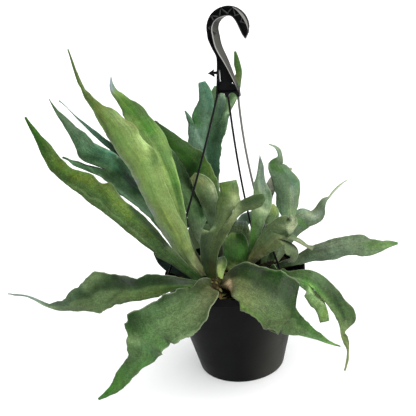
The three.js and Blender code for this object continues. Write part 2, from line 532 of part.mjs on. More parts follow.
function medium() {
  const inside = (z) => wallRadius(z) - WALL - FIT;
  const floor = FLOOR + FIT;
  const geometry = turned([
    [0, floor], [inside(floor), floor], [inside(MEDIUM_LEVEL - 4), MEDIUM_LEVEL - 4],
    [inside(MEDIUM_LEVEL) - 3, MEDIUM_LEVEL], [72, MEDIUM_LEVEL], [50, MEDIUM_LEVEL],
    [27, MEDIUM_LEVEL], [0, MEDIUM_LEVEL],
  ], ROUND / 2);
  const at = geometry.getAttribute('position');
  for (let i = 0; i < at.count; i += 1) {
    if (at.getZ(i) > MEDIUM_LEVEL - 1) {
      const bump = Math.sin(at.getX(i) * 0.21) * Math.cos(at.getY(i) * 0.17 + 1);
      at.setZ(i, MEDIUM_LEVEL + MEDIUM_BUMP * bump);
    }
  }
  return toManifold(geometry);
}

function crown({ centre, radius, top }, grow = 0) {
  const profile = [[0, CROWN_FOOT - grow], [radius * 0.6 + grow, CROWN_FOOT - grow]];
  const steps = 4;
  for (let i = 0; i <= steps; i += 1) {
    const angle = (Math.PI / 2) * (i / steps);
    const rise = (top - MEDIUM_LEVEL) * Math.sin(angle);
    profile.push([i === steps ? 0 : (radius + grow) * Math.cos(angle), MEDIUM_LEVEL + rise + grow]);
  }
  return toManifold(turned(profile, 18)).translate([centre[0], centre[1], 0]);
}

// The hook is drawn in its own upright plane: s runs along the plate, z is the height.
function plateOf(shape, depth) {
  const geometry = new THREE.ExtrudeGeometry(shape, {
    depth, bevelEnabled: false, curveSegments: 8 });
  return toManifold(geometry.translate(0, 0, -depth / 2).rotateX(Math.PI / 2));
}

function polygon(points) {
  return new THREE.Shape(points.map(([s, z]) => new THREE.Vector2(s, z)));
}

const CROOK = { centre: [6.8, 482.4], outer: 27.6, inner: [9.8, 482.6], bore: 16.4 };

function hookOutline(inset) {
  const shape = new THREE.Shape();
  const [cs, cz] = CROOK.centre;
  const [is, iz] = CROOK.inner;
  shape.moveTo(28.4 + inset * 0.1, 468 + inset * 1.6);
  shape.lineTo(32.5 - inset * 0.8, 475);
  shape.absarc(cs, cz, CROOK.outer - inset, rad(2), rad(184), false);
  shape.splineThru([[-21, 471], [-17.8, 460], [-12.6, 447], [-12, 440]]
    .map(([s, z]) => new THREE.Vector2(s + inset, z)));
  shape.lineTo(-14 + inset, 415);
  shape.lineTo(-15.4 + inset, 401 + inset);
  shape.lineTo(15.2 - inset, 401 + inset);
  shape.lineTo(13.6 - inset, 411);
  shape.lineTo(9.8 - inset, 424.6);
  shape.lineTo(4.1 - inset, 442.5);
  shape.lineTo(-3 - inset, 462);
  shape.absarc(is, iz, CROOK.bore + inset, rad(212), rad(10), true);
  return shape;
}

function hook() {
  const body = plateOf(hookOutline(0), HOOK_DEPTH);
  const recessDepth = (HOOK_DEPTH - HOOK_WEB) / 2;
  const offset = (HOOK_WEB + recessDepth) / 2 + 0.5;
  const pocket = plateOf(hookOutline(FLANGE), recessDepth + 1);
  const pockets = [pocket.translate([0, offset, 0]), pocket.translate([0, -offset, 0])];
  const foot = plateOf(polygon([[-16, 395], [16, 395], [15.2, 403], [-15.4, 403]]), HOOK_DEPTH);
  const arch = (s, z, r) => {
    const shape = new THREE.Shape();
    shape.absarc(s, z, r, 0, 2 * Math.PI, false);
    return plateOf(shape, HOOK_DEPTH + 2);
  };
  const slot = plateOf(polygon([[-11.2, 415], [-8.4, 415], [-8.4, 431], [-11.2, 431]]), HOOK_DEPTH + 2);
  const barb = plateOf(polygon([[-25, 427], [-16.4, 422], [-17.4, 425.4], [-11, 425.4],
    [-11, 428.6], [-17.4, 428.6], [-16.4, 432]]), 4);
  const brace = [];
  const braces = 7;
  for (let i = 0; i < braces; i += 1) {
    const angle = rad(30 + (170 * i) / (braces - 1));
    const lean = rad(i % 2 ? 28 : -28);
    const middle = (CROOK.outer + CROOK.bore) / 2;
    const s = 8 + middle * Math.cos(angle);
    const z = 482.5 + middle * Math.sin(angle);
    const reach = 8;
    const ds = Math.cos(angle + lean);
    const dz = Math.sin(angle + lean);
    const rib = [[s - ds * reach + dz, z - dz * reach - ds], [s + ds * reach + dz, z + dz * reach - ds],
      [s + ds * reach - dz, z + dz * reach + ds], [s - ds * reach - dz, z - dz * reach + ds]];
    brace.push(plateOf(polygon(rib), HOOK_DEPTH).intersect(body));
  }
  const hollowed = join([cut(body, pockets), foot, barb, ...brace]);
  const bored = cut(hollowed, [arch(-8, 395.6, 5.6), arch(6.2, 395, 5.6), arch(7, 412.6, 1.4), slot]);
  return bored.rotate([0, 0, THREE.MathUtils.radToDeg(HANGER_TURN)])
    .translate([HANGER_PLACE[0], HANGER_PLACE[1], 0]);
}

const STRANDS = [
  { name: 'strand_left', s: -14.6, azimuth: 195, bow: 0 },
  { name: 'strand_back', s: -0.6, azimuth: 69, bow: 0 },
  { name: 'strand_right', s: 13, azimuth: 312, bow: 16 },
];
const STRAND_TOP = 399;
const CLIP = { width: 12, drop: 14, plate: 2 };

function hangerPoint(s, z) {
  return v3(HANGER_PLACE[0] + s * Math.cos(HANGER_TURN), HANGER_PLACE[1] + s * Math.sin(HANGER_TURN), z);
}

function strandPath({ s, azimuth, bow }) {
  const angle = rad(azimuth);
  const radius = RIM_RADIUS + FIT - 1;
  const end = v3(radius * Math.cos(angle), radius * Math.sin(angle), POT_HEIGHT + 1);
  const start = hangerPoint(s, STRAND_TOP);
  const middle = start.clone().lerp(end, 0.5).add(v3(-bow * Math.cos(angle), -bow * Math.sin(angle), 0));
  return new THREE.QuadraticBezierCurve3(start, middle, end);
}

function strand(spec) {
  const round = new THREE.Shape();
  round.absarc(0, 0, STRAND_RADIUS, 0, 2 * Math.PI, false);
  const rod = toManifold(new THREE.ExtrudeGeometry(round, {
    steps: spec.bow ? 10 : 1, curveSegments: 4, extrudePath: strandPath(spec) }));
  const outside = RIM_RADIUS + FIT;
  const inside = RIM_RADIUS - WALL - 1.5 - FIT;
  const top = POT_HEIGHT + FIT;
  const hookShape = polygon([
    [inside - CLIP.plate, top - 3], [inside, top - 3], [inside, top], [outside, top],
    [outside, top - CLIP.drop], [outside + CLIP.plate, top - CLIP.drop],
    [outside + CLIP.plate, top + 1.5], [inside - CLIP.plate, top + 1.5]]);
  const clip = plateOf(hookShape, CLIP.width).rotate([0, 0, spec.azimuth]);
  return rod.add(clip);
}

const part = new THREE.Group();
part.name = 'staghorn_fern';

const grown = FRONDS.map((spec) => ({ spec, geometry: frondGeometry(spec) }));
const crowns = Object.entries(CROWNS).map(([name, shape]) => {
  const slots = FRONDS.filter((spec) => spec.crown === name)
    .map((spec) => toManifold(frondGeometry(spec, FIT, 34)));
  return { name, shape, solid: cut(crown(shape), slots) };
});

const plastic = '#26282a';
part.add(mesh('pot', toGeometry(pot()), plastic, 0.55));
const holes = Object.values(CROWNS).map((shape) => crown(shape, FIT));
part.add(mesh('growing_medium', toGeometry(cut(medium(), holes)), '#8a7a4c', 0.95));
for (const { name, solid } of crowns) {
  part.add(mesh(`rhizome_${name}`, toGeometry(solid), '#6a5a3c', 0.9));
}
for (const { spec, geometry } of grown) {
  part.add(mesh(spec.name, geometry, spec.colour, 0.6));
}
const hookSolid = hook();
const strands = STRANDS.map((spec) => ({ spec, solid: strand(spec) }));
const sockets = STRANDS.map((spec) => toManifold(new THREE.ExtrudeGeometry(
  new THREE.Shape().absarc(0, 0, STRAND_RADIUS + FIT, 0, 2 * Math.PI, false),
  { steps: 1, curveSegments: 4, extrudePath: new THREE.LineCurve3(
    strandPath(spec).getPoint(0).add(v3(0, 0, FIT)), strandPath(spec).getPoint(0.05)) })));
part.add(mesh('hook', toGeometry(cut(hookSolid, sockets)), '#1c1d1f', 0.35));
for (const { spec, solid } of strands) {
  part.add(mesh(spec.name, toGeometry(solid), '#1c1d1f', 0.4));
}

export default part;
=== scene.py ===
# %% [markdown]
# # A staghorn fern in its hanging pot
#
# This notebook dresses a plain model of a staghorn fern. The fern grows in a black moulded pot
# and still wears the three strand hanger that it was sold with. The plain model gives every
# piece its place and size. Each cell below makes one kind of piece again as a finer surface and
# gives it its finish. All sizes in the tables are millimetres and become metres in the meshes.

# %% Load the plain model
import json
import math

import bmesh
import bpy
import numpy as np
from mathutils import Matrix, Vector


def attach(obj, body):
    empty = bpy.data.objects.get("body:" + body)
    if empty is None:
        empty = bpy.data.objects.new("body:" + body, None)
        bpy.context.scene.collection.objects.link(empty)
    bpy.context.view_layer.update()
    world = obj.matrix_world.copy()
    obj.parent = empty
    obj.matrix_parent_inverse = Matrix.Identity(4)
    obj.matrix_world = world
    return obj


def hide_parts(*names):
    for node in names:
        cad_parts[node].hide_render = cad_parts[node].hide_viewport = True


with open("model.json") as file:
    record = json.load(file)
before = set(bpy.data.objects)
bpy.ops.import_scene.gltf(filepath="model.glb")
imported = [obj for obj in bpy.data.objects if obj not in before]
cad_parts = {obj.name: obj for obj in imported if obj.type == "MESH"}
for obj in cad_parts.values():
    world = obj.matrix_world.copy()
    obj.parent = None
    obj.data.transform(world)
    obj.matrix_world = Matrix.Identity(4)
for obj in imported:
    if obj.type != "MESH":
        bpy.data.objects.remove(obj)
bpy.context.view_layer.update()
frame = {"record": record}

# %% [markdown]
# ## The camera
#
# The picture was taken from a little above the rim, less than a metre away. A camera could be
# placed by eye, but the rim and the foot of the pot are circles of known size, so their ellipses
# in the picture fix the place and the tilt of the lens. Those numbers are written out here.

# %% Camera
CAMERA_PLACE = (0.0, -0.908, 0.558)
PITCH, YAW, ROLL = (math.radians(a) for a in (19.1, -1.84, -5.6))
LENS, SENSOR = 60, 36    # millimetres, as a photographer would give them

forward = Vector((math.sin(YAW) * math.cos(PITCH), math.cos(YAW) * math.cos(PITCH),
                  -math.sin(PITCH)))
right = Vector((math.cos(YAW), -math.sin(YAW), 0))
above = right.cross(forward)
right, above = (right * math.cos(ROLL) + above * math.sin(ROLL),
                above * math.cos(ROLL) - right * math.sin(ROLL))
lens = bpy.data.cameras.new("camera")
lens.lens, lens.sensor_width = LENS, SENSOR
camera = bpy.data.objects.new("camera", lens)
camera.matrix_world = Matrix.Translation(CAMERA_PLACE) @ Matrix(
    (right, above, -forward)).transposed().to_4x4()
bpy.context.scene.collection.objects.link(camera)
bpy.context.scene.camera = camera
print("camera looks along", [round(c, 3) for c in forward])

# %% [markdown]
# ## From arrays to meshes
#
# Every surface here is worked out as whole arrays: one array of points and a few arrays of
# faces. A loop over vertices would be slow and hard to read. This helper puts the arrays
# straight into a mesh, with any values that the finish needs later, such as how near a point
# lies to the margin of a leaf. A second helper ties a piece to the body that carries it.

# %% Helpers for meshes
MM = 0.001


def lay_tint(mesh, tint):
    """One colour a point, or one for all, kept on the mesh for its finish to read."""
    layer = mesh.attributes.new("tint", "FLOAT_COLOR", "POINT")
    rgba = np.ones((len(mesh.vertices), 4), dtype=np.float32)
    rgba[:, :3] = tint
    layer.data.foreach_set("color", rgba.ravel())


def places_of(mesh):
    """The points of a mesh in millimetres, as rows of x, y, z."""
    corners = np.empty(len(mesh.vertices) * 3)
    mesh.vertices.foreach_get("co", corners)
    return corners.reshape(-1, 3) / MM


def placed(name, data):
    """An object that carries the data, linked to the scene."""
    made = bpy.data.objects.new(name, data)
    bpy.context.scene.collection.objects.link(made)
    return made


def new_piece(name, points, faces, smooth=True, values=None, tint=None, uv=None):
    """points is (n, 3) in millimetres, faces a list of (m, k) arrays of point numbers, values
    a dict of one number a point, tint one colour a point, uv two numbers a point."""
    mesh = bpy.data.meshes.new(name)
    mesh.vertices.add(len(points))
    mesh.vertices.foreach_set("co", (points * MM).astype(np.float32).ravel())
    corners = np.concatenate([f.ravel() for f in faces]).astype(np.int32)
    sizes = np.concatenate([np.full(len(f), f.shape[1]) for f in faces])
    mesh.loops.add(len(corners))
    mesh.loops.foreach_set("vertex_index", corners)
    mesh.polygons.add(len(sizes))
    mesh.polygons.foreach_set("loop_start", (np.cumsum(sizes) - sizes).astype(np.int32))
    soft = np.broadcast_to(smooth, len(sizes))
    mesh.polygons.foreach_set("use_smooth", np.ascontiguousarray(soft, dtype=bool))
    mesh.update(calc_edges=True)
    for key, value in (values or {}).items():
        layer = mesh.attributes.new(key, "FLOAT", "POINT")
        layer.data.foreach_set("value", np.asarray(value, dtype=np.float32))
    if tint is not None:
        lay_tint(mesh, tint)
    if uv is not None:
        layer = mesh.uv_layers.new(name="blade")
        layer.data.foreach_set("uv", uv[corners].astype(np.float32).ravel())
    mesh.validate()
    return placed(name, mesh)


def dress(piece, material, slot, *nodes):
    """The piece wears the material, rides on the one body and stands for the plain nodes."""
    piece.data.materials.clear()
    piece.data.materials.append(material)
    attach(piece, "root")
    if nodes:
        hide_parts(*nodes)


def grid_faces(ids):
    """The quads between the points of a grid, given as a (rows, columns) array of numbers."""
    quads = np.stack([ids[:-1, :-1], ids[:-1, 1:], ids[1:, 1:], ids[1:, :-1]], axis=-1)
    return quads.reshape(-1, 4)


def ring_faces(ids):
    """The quads of a grid whose last column joins its first one."""
    return grid_faces(np.concatenate([ids, ids[:, :1]], axis=1))


def unit(vectors):
    """Each row divided by its own length."""
    return vectors / np.maximum(np.linalg.norm(vectors, axis=-1, keepdims=True), 1e-9)


def around(angle):
    """The cosine and the sine of each angle, side by side."""
    return np.stack([np.cos(angle), np.sin(angle)], axis=-1)


def rgb(*levels):
    """A colour as a screen shows it, 0 to 255, turned into the linear light that shaders add."""
    c = np.array(levels, dtype=float) / 255
    return np.where(c > 0.04045, ((c + 0.055) / 1.055) ** 2.4, c / 12.92)


def ripple(x, seed, octaves=3):
    """A smooth random line from -1 to 1: sines whose lengths and starts a seeded draw sets,
    each octave half as long and half as strong as the last."""
    draw = np.random.default_rng(seed)
    total = np.zeros_like(np.asarray(x, dtype=float))
    for octave in range(octaves):
        rate = 2 ** octave * draw.uniform(0.8, 1.25)
        total = total + np.sin(x * rate + draw.uniform(0, 2 * math.pi)) / 2 ** octave
    return total / (2 - 0.5 ** (octaves - 1))


print("a screen's middle grey, 128, is", rgb(128).round(3)[0], "in linear light")

# %% [markdown]
# ## Small tools for finishes
#
# A finish is a small graph of nodes. Written call by call it would fill pages, so one helper
# adds a node, sets its switches and either fills or wires its sockets. Numbers that are the same
# all over a surface are set on the shader's own sockets.

# %% Helpers for finishes
def feed(tree, socket, value):
    """Fills a socket with a number or a colour, or wires another node's output to it."""
    if isinstance(value, bpy.types.NodeSocket):
        tree.links.new(value, socket)
    else:
        socket.default_value = (*value, 1) if socket.type == "RGBA" and len(value) == 3 else value


def node(tree, kind, sockets=None, **switches):
    """Adds a node, sets its switches and feeds its sockets by name."""
    made = tree.nodes.new("ShaderNode" + kind)
    for key, value in switches.items():
        setattr(made, key, value)
    for key, value in (sockets or {}).items():
        feed(tree, made.inputs[key], value)
    return made


def new_finish(name, **constants):
    """A material with one shader, whose constant sockets are set here; gives tree and shader."""
    material = bpy.data.materials.new(name)
    material.use_nodes = True
    tree = material.node_tree
    shader = next(n for n in tree.nodes if n.type == "BSDF_PRINCIPLED")
    for key, value in constants.items():
        feed(tree, shader.inputs[key.replace("_", " ")], value)
    return material, tree, shader


def object_place(tree):
    """Where a point of the surface lies, in metres."""
    return node(tree, "TexCoord").outputs["Object"]


def stored(tree, name, kind="Fac"):
    """A value that the mesh keeps for each point."""
    return node(tree, "Attribute", attribute_name=name).outputs[kind]


def noise(tree, vector, scale, detail=3, roughness=0.55):
    """Cloudy noise from 0 to 1; scale is how many clouds fit in a metre."""
    return node(tree, "TexNoise", {"Vector": vector, "Scale": scale, "Detail": detail,
                                   "Roughness": roughness}).outputs["Fac"]


def streaks(tree, vector, scale, detail=3, roughness=0.55):
    """Noise with three scales, which draw it out along one direction."""
    made = node(tree, "Mapping", {"Vector": vector, "Scale": scale}).outputs["Vector"]
    return noise(tree, made, 1, detail, roughness)


def span(tree, value, low, high, to_low=0.0, to_high=1.0):
    """Stretches low..high to to_low..to_high and clamps it."""
    return node(tree, "MapRange", {"Value": value, "From Min": low, "From Max": high,
                                   "To Min": to_low, "To Max": to_high}).outputs["Result"]


def mixed(tree, amount, one, two):
    """Colour one turned into colour two by amount, 0 to 1."""
    made = node(tree, "Mix", data_type="RGBA")
    feed(tree, made.inputs[0], amount)
    feed(tree, made.inputs[6], one)
    feed(tree, made.inputs[7], two)
    return made.outputs[2]


def maths(tree, operation, one, two=0.0):
    """One sum of two numbers or sockets."""
    made = node(tree, "Math", operation=operation)
    feed(tree, made.inputs[0], one)
    feed(tree, made.inputs[1], two)
    return made.outputs[0]


def uneven(tree, roughness, clouds, swing, spoilt, more):
    """A roughness that swings with the clouds and is more where the skin is spoilt."""
    rough = maths(tree, "ADD", span(tree, clouds, 0.3, 0.7, -swing, swing), roughness)
    return maths(tree, "ADD", rough, maths(tree, "MULTIPLY", spoilt, more))


def wire(tree, shader, colour, rough, height, depth):
    """Gives the shader its colour and roughness, and lights the surface as if it rose by
    height times depth, in metres."""
    bump = node(tree, "Bump", {"Height": height, "Distance": depth})
    for socket, value in (("Base Color", colour), ("Roughness", rough),
                          ("Normal", bump.outputs["Normal"])):
        feed(tree, shader.inputs[socket], value)


print("a shader has", len(new_finish("trial")[2].inputs), "sockets to fill")
bpy.data.materials.remove(bpy.data.materials["trial"])

# %% [markdown]
# ## The shape of a frond
#
# A staghorn frond is a leathery strap that rises from a narrow stalk, widens, bends under its
# own weight and often forks into lobes. It could be a subdivided plane bent by hand, but then
# thirty fronds would be thirty jobs. Here a frond is one formula with a short table. Each row of
# the table gives a place on the midrib, the width to either side, how far the blade is rolled
# about the midrib, and how far its halves curl away from the upper face.

# %% Smooth rows
def smooth_rows(rows, spacing):
    """A cubic through the rows of a table. The slope at each row is the mean of the two chords
    beside it, weighted by the other chord's length; the ends take their only chord. Gives the
    rows at even steps and their distance from the first one."""
    rows = np.array(rows, dtype=float)
    chord = np.linalg.norm(np.diff(rows[:, :3], axis=0), axis=1)
    place = np.concatenate([[0], np.cumsum(chord)])
    step = np.diff(rows, axis=0) / chord[:, None]
    share = (chord[:-1] / (chord[:-1] + chord[1:]))[:, None]
    slope = np.concatenate([step[:1], step[:-1] * (1 - share) + step[1:] * share, step[-1:]])
    at = np.linspace(0, place[-1], max(4, round(place[-1] / spacing)) + 1)
    i = np.clip(np.searchsorted(place, at, side="right") - 1, 0, len(chord) - 1)
    s = ((at - place[i]) / chord[i])[:, None]
    reach = chord[i][:, None]
    smooth = ((2 * s ** 3 - 3 * s ** 2 + 1) * rows[i] + (s ** 3 - 2 * s ** 2 + s) * reach * slope[i]
              + (3 * s ** 2 - 2 * s ** 3) * rows[i + 1] + (s ** 3 - s ** 2) * reach * slope[i + 1])
    return smooth, at


print("two rows 10 mm apart become", len(smooth_rows([[0, 0, 0], [0, 0, 10]], 2.5)[0]), "rows")

# %% [markdown]
# Each half of the blade leaves the midrib at its keel angle and curls a little more on the way
# out. Adding up small steps along that heading gives the place of every point across the blade,
# so a half can even fold right over and show its pale underside. Ruffles, shallow puckers and
# small cuts in the margin come last, because a perfectly even blade looks like plastic.

# %% One ribbon of a frond
PICTURE_SIDE = (0, -0.94, 0.34)
ROW_STEP = 2.6           # millimetres between two rows of points
EDGE_STEP = 6            # millimetres between two numbers of the table of margins
NICK, FRILL, PUCKER = 4.2, 5.5, 13     # rough lengths of the random waves of margin and skin
FOLD_FADE = 16           # millimetres over which a fold begins and ends


def smoothstep(x):
    """0 up to x = 0, 1 from x = 1, and an S curve between them."""
    x = np.clip(x, 0, 1)
    return x * x * (3 - 2 * x)


def full_row(row):
    """The seven numbers of a row. Five mean equal halves and no turn."""
    return row if len(row) == 7 else [*row[:4], row[3], 0, row[4]]


def edge_offset(tenths, at):
    """How far a margin stands out at each distance, from (start, values in tenths of a
    millimetre, one every EDGE_STEP)."""
    if not tenths:
        return 0 * at
    place = tenths[0] + EDGE_STEP * np.arange(-1.0, len(tenths))
    place[0] -= 2 * EDGE_STEP
    place[-1] += EDGE_STEP
    return np.interp(at, place, np.array([0, *tenths[1:], 0])) / 10


def half_blade(table, at, which, steps, seed, keel, wave, scallop, frill, nibble, folds, widen):
    """One half of a ribbon: how far each point lies to the side of the midrib and how far
    above the flat, both (rows, steps + 1). The heading is keel + curl * a, a being the share of
    the half width; side and drop add up its cosine and sine."""
    a = np.linspace(0, 1, steps + 1)[None, :]
    t = (at / at[-1])[:, None]
    ends = np.sin(math.pi * t)
    cut = 1 + scallop[0] * ends * np.sin(2 * math.pi * scallop[1] * t + scallop[2] + which * 1.3)
    cut = cut + nibble * ripple(at / NICK, seed + which)[:, None]
    width = np.maximum(0.5, table[:, 3 + which:4 + which] * cut + widen[:, None])
    heading = np.radians(keel[which] + table[:, 6:7] * a)
    for side, start, end, angle, line in folds:
        if side == which:
            window = smoothstep((at - start) / FOLD_FADE) * smoothstep((end - at) / FOLD_FADE)
            window = window[:, None]
            heading = heading + math.radians(angle) * window * smoothstep((a - line) / 0.2)
            width = width * (1 + window * (1 / (line + 0.1) - 1))
    gained = [np.concatenate([np.zeros((len(at), 1)), np.cumsum(
        (f(heading)[:, 1:] + f(heading)[:, :-1]) / 2 / steps, axis=1)], axis=1)
        for f in (np.cos, np.sin)]
    rise = (wave[0] * a ** 2 * ends * np.sin(2 * math.pi * wave[1] * t + wave[2] + which * 2)
            + frill * a ** 3 * ends * ripple(at / FRILL, seed + 5 + which)[:, None])
    return gained[0] * width, rise - gained[1] * width


def ribbon(rows, columns, seed, face=PICTURE_SIDE, keel=(0, 0), wave=(0, 1, 0),
           scallop=(0, 1, 0), frill=0.5, nibble=0.03, folds=(), puckers=(), edges=((), ())):
    """Points of one ribbon, (rows, columns + 1, 3). T runs along the midrib, up is the face
    turned about T, across = T x up. A point is the midrib + side * across + rise * up. Half the
    sum of the two edge offsets widens each half, half their difference shifts the midrib."""
    table, at = smooth_rows([full_row(row) for row in rows], ROW_STEP)
    midrib = table[:, :3]
    along = unit(np.gradient(midrib, axis=0))
    face = unit(np.array(face, dtype=float))
    flat = unit(face - along * (along @ face)[:, None])
    turn = np.radians(table[:, 5:6])
    up = flat * np.cos(turn) + np.cross(along, flat) * np.sin(turn)
    across = np.cross(along, up)
    left, right = (edge_offset(tenths, at) for tenths in edges)
    halves = [half_blade(table, at, which, columns // 2, seed, keel, wave, scallop, frill,
                         nibble, folds, (left + right) / 2) for which in (0, 1)]
    side = np.concatenate([-halves[0][0][:, :0:-1], halves[1][0]], axis=1)
    side = side + ((right - left) / 2)[:, None]
    rise = np.concatenate([halves[0][1][:, :0:-1], halves[1][1]], axis=1)
    v = np.linspace(-1, 1, columns + 1)[None, :]
    ends = np.sin(math.pi * at / at[-1])[:, None]
    rise = rise + 0.35 * ends * ripple(at[:, None] / PUCKER + 2.1 * v, seed + 9)
    for centre, place, height, reach in puckers:
        rise = rise + height * np.exp(-((at[:, None] - centre) / reach) ** 2
                                      - ((v - place) / 0.45) ** 2)
    points = midrib[:, None] + side[..., None] * across[:, None] + rise[..., None] * up[:, None]
    return points, at


trial = ribbon([[0, 0, 0, 5, 0], [0, 0, 60, 9, 10]], 8, 1)[0]
print("a trial ribbon has", trial.shape[0], "rows of", trial.shape[1], "points")

# %% [markdown]
# A forked frond is a small tree of ribbons. The lobes reuse the points of the row they grow
# from, so the sheet has no seam there, and the difference fades out over the first half of each
# lobe. Then the sheet gets its thickness: thick at the stalk, thin at the margin. A Solidify
# modifier could do that, but it has no thinning towards an edge that the finish can also read.

# %% Whole fronds
FINER = 4            # columns of the finished sheet for each column in the table
BLADE, MARGIN, STIPE, STIPE_LENGTH = 1.2, 0.55, 1.8, 45
EDGE_GROWS, REACH_GROWS = 14, 20     # millimetres over which a lobe gets a margin of its own
OWN_SHAPE = ("face", "keel", "wave", "scallop", "frill", "nibble", "folds", "puckers")


def from_middle(points):
    """How far each point of a grid lies from the middle of its row, measured along the row."""
    step = np.linalg.norm(np.diff(points, axis=1), axis=2)
    gone = np.concatenate([np.zeros((len(points), 1)), np.cumsum(step, axis=1)], axis=1)
    return gone - gone[:, -1:] / 2


def frond_sheet(spec, edges, seed):
    """The open sheet of a frond: its points, the distance of each from the foot, how near the
    margin it is (0 to 1), its place across (0 to 1), its reach from the middle in millimetres,
    and the quads. The reaches of lobes are spread apart, so no two lobes share them."""
    shape = {k: spec[k] for k in OWN_SHAPE if k in spec}
    columns = spec.get("columns", 4) * FINER
    edges = list(edges) + [((), ())] * 5
    points, at = ribbon(spec["rows"], columns, seed, edges=edges[0], **shape)
    v = np.linspace(-1, 1, columns + 1)
    made = {"points": [points.reshape(-1, 3)], "along": [np.repeat(at, columns + 1)],
            "edge": [np.tile(np.abs(v), len(at))], "across": [np.tile(v / 2 + 0.5, len(at))],
            "reach": [from_middle(points).ravel()]}
    end_reach = from_middle(points)[-1]
    ids = np.arange(len(at) * (columns + 1)).reshape(len(at), -1)
    faces, last, stem, total = [grid_faces(ids)], ids[-1], at[-1], ids.size
    for number, (where, rows, *own) in enumerate(spec.get("lobes", ())):
        taken = slice(where[0] * FINER, where[1] * FINER + 1)
        shared = last[taken]
        width = len(shared)
        own = {"face": spec.get("face", PICTURE_SIDE), **(own[0] if own else {})}
        points, at = ribbon(rows, width - 1, seed + 20 + number, edges=edges[number + 1], **own)
        fade = np.clip(1 - 2 * at / at[-1], 0, 1)[:, None, None] ** 2
        points = points + fade * (made["points"][0][shared] - points[0])[None]
        fresh = (len(at) - 1) * width
        ids = np.concatenate([shared[None], total + np.arange(fresh).reshape(-1, width)])
        total += fresh
        faces.append(grid_faces(ids))
        grown = smoothstep(at[1:] / EDGE_GROWS)[:, None]
        edge = (np.abs(np.linspace(-1, 1, width))[None] * grown
                + made["edge"][0][shared][None] * (1 - grown))
        made["points"].append(points[1:].reshape(-1, 3))
        made["along"].append(np.repeat(stem + at[1:], width))
        made["edge"].append(edge.ravel())
        made["across"].append(np.tile(made["across"][0][shared], len(at) - 1))
        base = end_reach[taken][[0, -1]].mean()
        reach = from_middle(points) + base * (1 + smoothstep(at / REACH_GROWS))[:, None]
        made["reach"].append(reach[1:].ravel())
    return {k: np.concatenate(p) for k, p in made.items()}, np.concatenate(faces)


def thicken(sheet, quads):
    """A closed blade: the sheet's points moved both ways along their mean normals by half the
    thickness, with narrow walls on the open edges."""
    points = sheet["points"]
    normal = np.zeros_like(points)
    crossed = np.cross(points[quads[:, 2]] - points[quads[:, 0]],
                       points[quads[:, 3]] - points[quads[:, 1]])
    for corner in range(4):
        np.add.at(normal, quads[:, corner], crossed)
    stalk = np.clip(1 - sheet["along"] / STIPE_LENGTH, 0, 1) ** 2
    middle = BLADE + STIPE * stalk
    thick = middle + (MARGIN + 0.6 * STIPE * stalk - middle) * sheet["edge"] ** 2
    offset = unit(normal) * (thick / 2)[:, None]
    count = len(points)
    sides = np.concatenate([quads[:, [k, (k + 1) % 4]] for k in range(4)])
    key = np.sort(sides, axis=1) @ np.array([count, 1])
    _, inverse, uses = np.unique(key, return_inverse=True, return_counts=True)
    rim = sides[uses[inverse] == 1]
    walls = np.stack([rim[:, 1], rim[:, 0], rim[:, 0] + count, rim[:, 1] + count], axis=-1)
    both = np.concatenate([points + offset, points - offset])
    return both, [quads, quads[:, ::-1] + count, walls]


print("a blade is", BLADE, "mm thick in the middle and", MARGIN, "mm at its margin")

# %% [markdown]
# ## The colour of a frond
#
# No two fronds on the plant have the same green. Old ones are dark and bluish, young ones fresh,
# and each is paler or browner towards its foot, its tip or one of its halves. The colours also
# carry painted light and shade: a part that lay in shade is painted darker, a lit part paler. An
# image could carry that, but a few colours a frond are enough: three along the left half, three
# along the right, and some soft brush strokes, mostly painted shade and painted highlights. They
# are blended into one colour a point, which the finish reads.

# %% Colours along a blade
LIGHT_SHARE = 0.42   # the studio light is stronger than white paper needs, so tints are darker


def three_tone(colours, t):
    """Foot, middle and tip colours blended along t, 0 to 1."""
    foot, middle, tip = (rgb(*c) for c in colours)
    up = smoothstep(t / 0.5)[:, None]
    on = smoothstep((t - 0.5) / 0.5)[:, None]
    return foot + (middle - foot) * up + (tip - middle) * on


def frond_tint(look, sheet):
    """One colour a point: the halves' three tones, blended over the midrib, then each stroke
    laid on. A stroke is the distance and reach of its start and of its end, its width, a glaze
    that the colour is multiplied by, and its strength. It fades with the square of the distance
    from its line over its width. Most strokes are painted shade and painted highlights."""
    t = sheet["along"] / sheet["along"].max()
    left = three_tone(look["left"], t)
    right = three_tone(look.get("right", look["left"]), t)
    tint = left + (right - left) * smoothstep((sheet["across"] - 0.42) / 0.16)[:, None]
    spot = np.stack([sheet["along"], sheet["reach"]], axis=-1)
    for *ends, width, glaze, strength in look.get("strokes", ()):
        start, end = np.array(ends, dtype=float).reshape(2, 2)
        line = end - start + 1e-6
        s = np.clip((spot - start) @ line / (line @ line), 0, 1)[:, None]
        away = np.linalg.norm(spot - start - s * line, axis=1)
        cover = strength * np.exp(-(away / width) ** 2)[:, None]
        tint = tint * (1 + cover * (np.array(glaze) - 1))
    return tint * LIGHT_SHARE


print("a tint keeps", LIGHT_SHARE, "of its light")

# %% [markdown]
# ## The skin of a frond
#
# The living surface is satin, not glossy. Star shaped hairs leave a whitish bloom that is rubbed
# off in places, the veins show as faint lengthwise streaks, old damage leaves dark specks, a thin
# pale line along the margin is a painted highlight where light catches the edge, and the
# underside is pale and felted. Each of these is one small pattern on top of the frond's own
# colours.

# %% Leaf finish
MARGIN_HIGHLIGHT_GREEN = rgb(182, 200, 160)
FELT_GREEN = rgb(128, 146, 98)
BLOOM_GREY = rgb(146, 160, 122)
SPECK_BROWN = rgb(36, 34, 20)


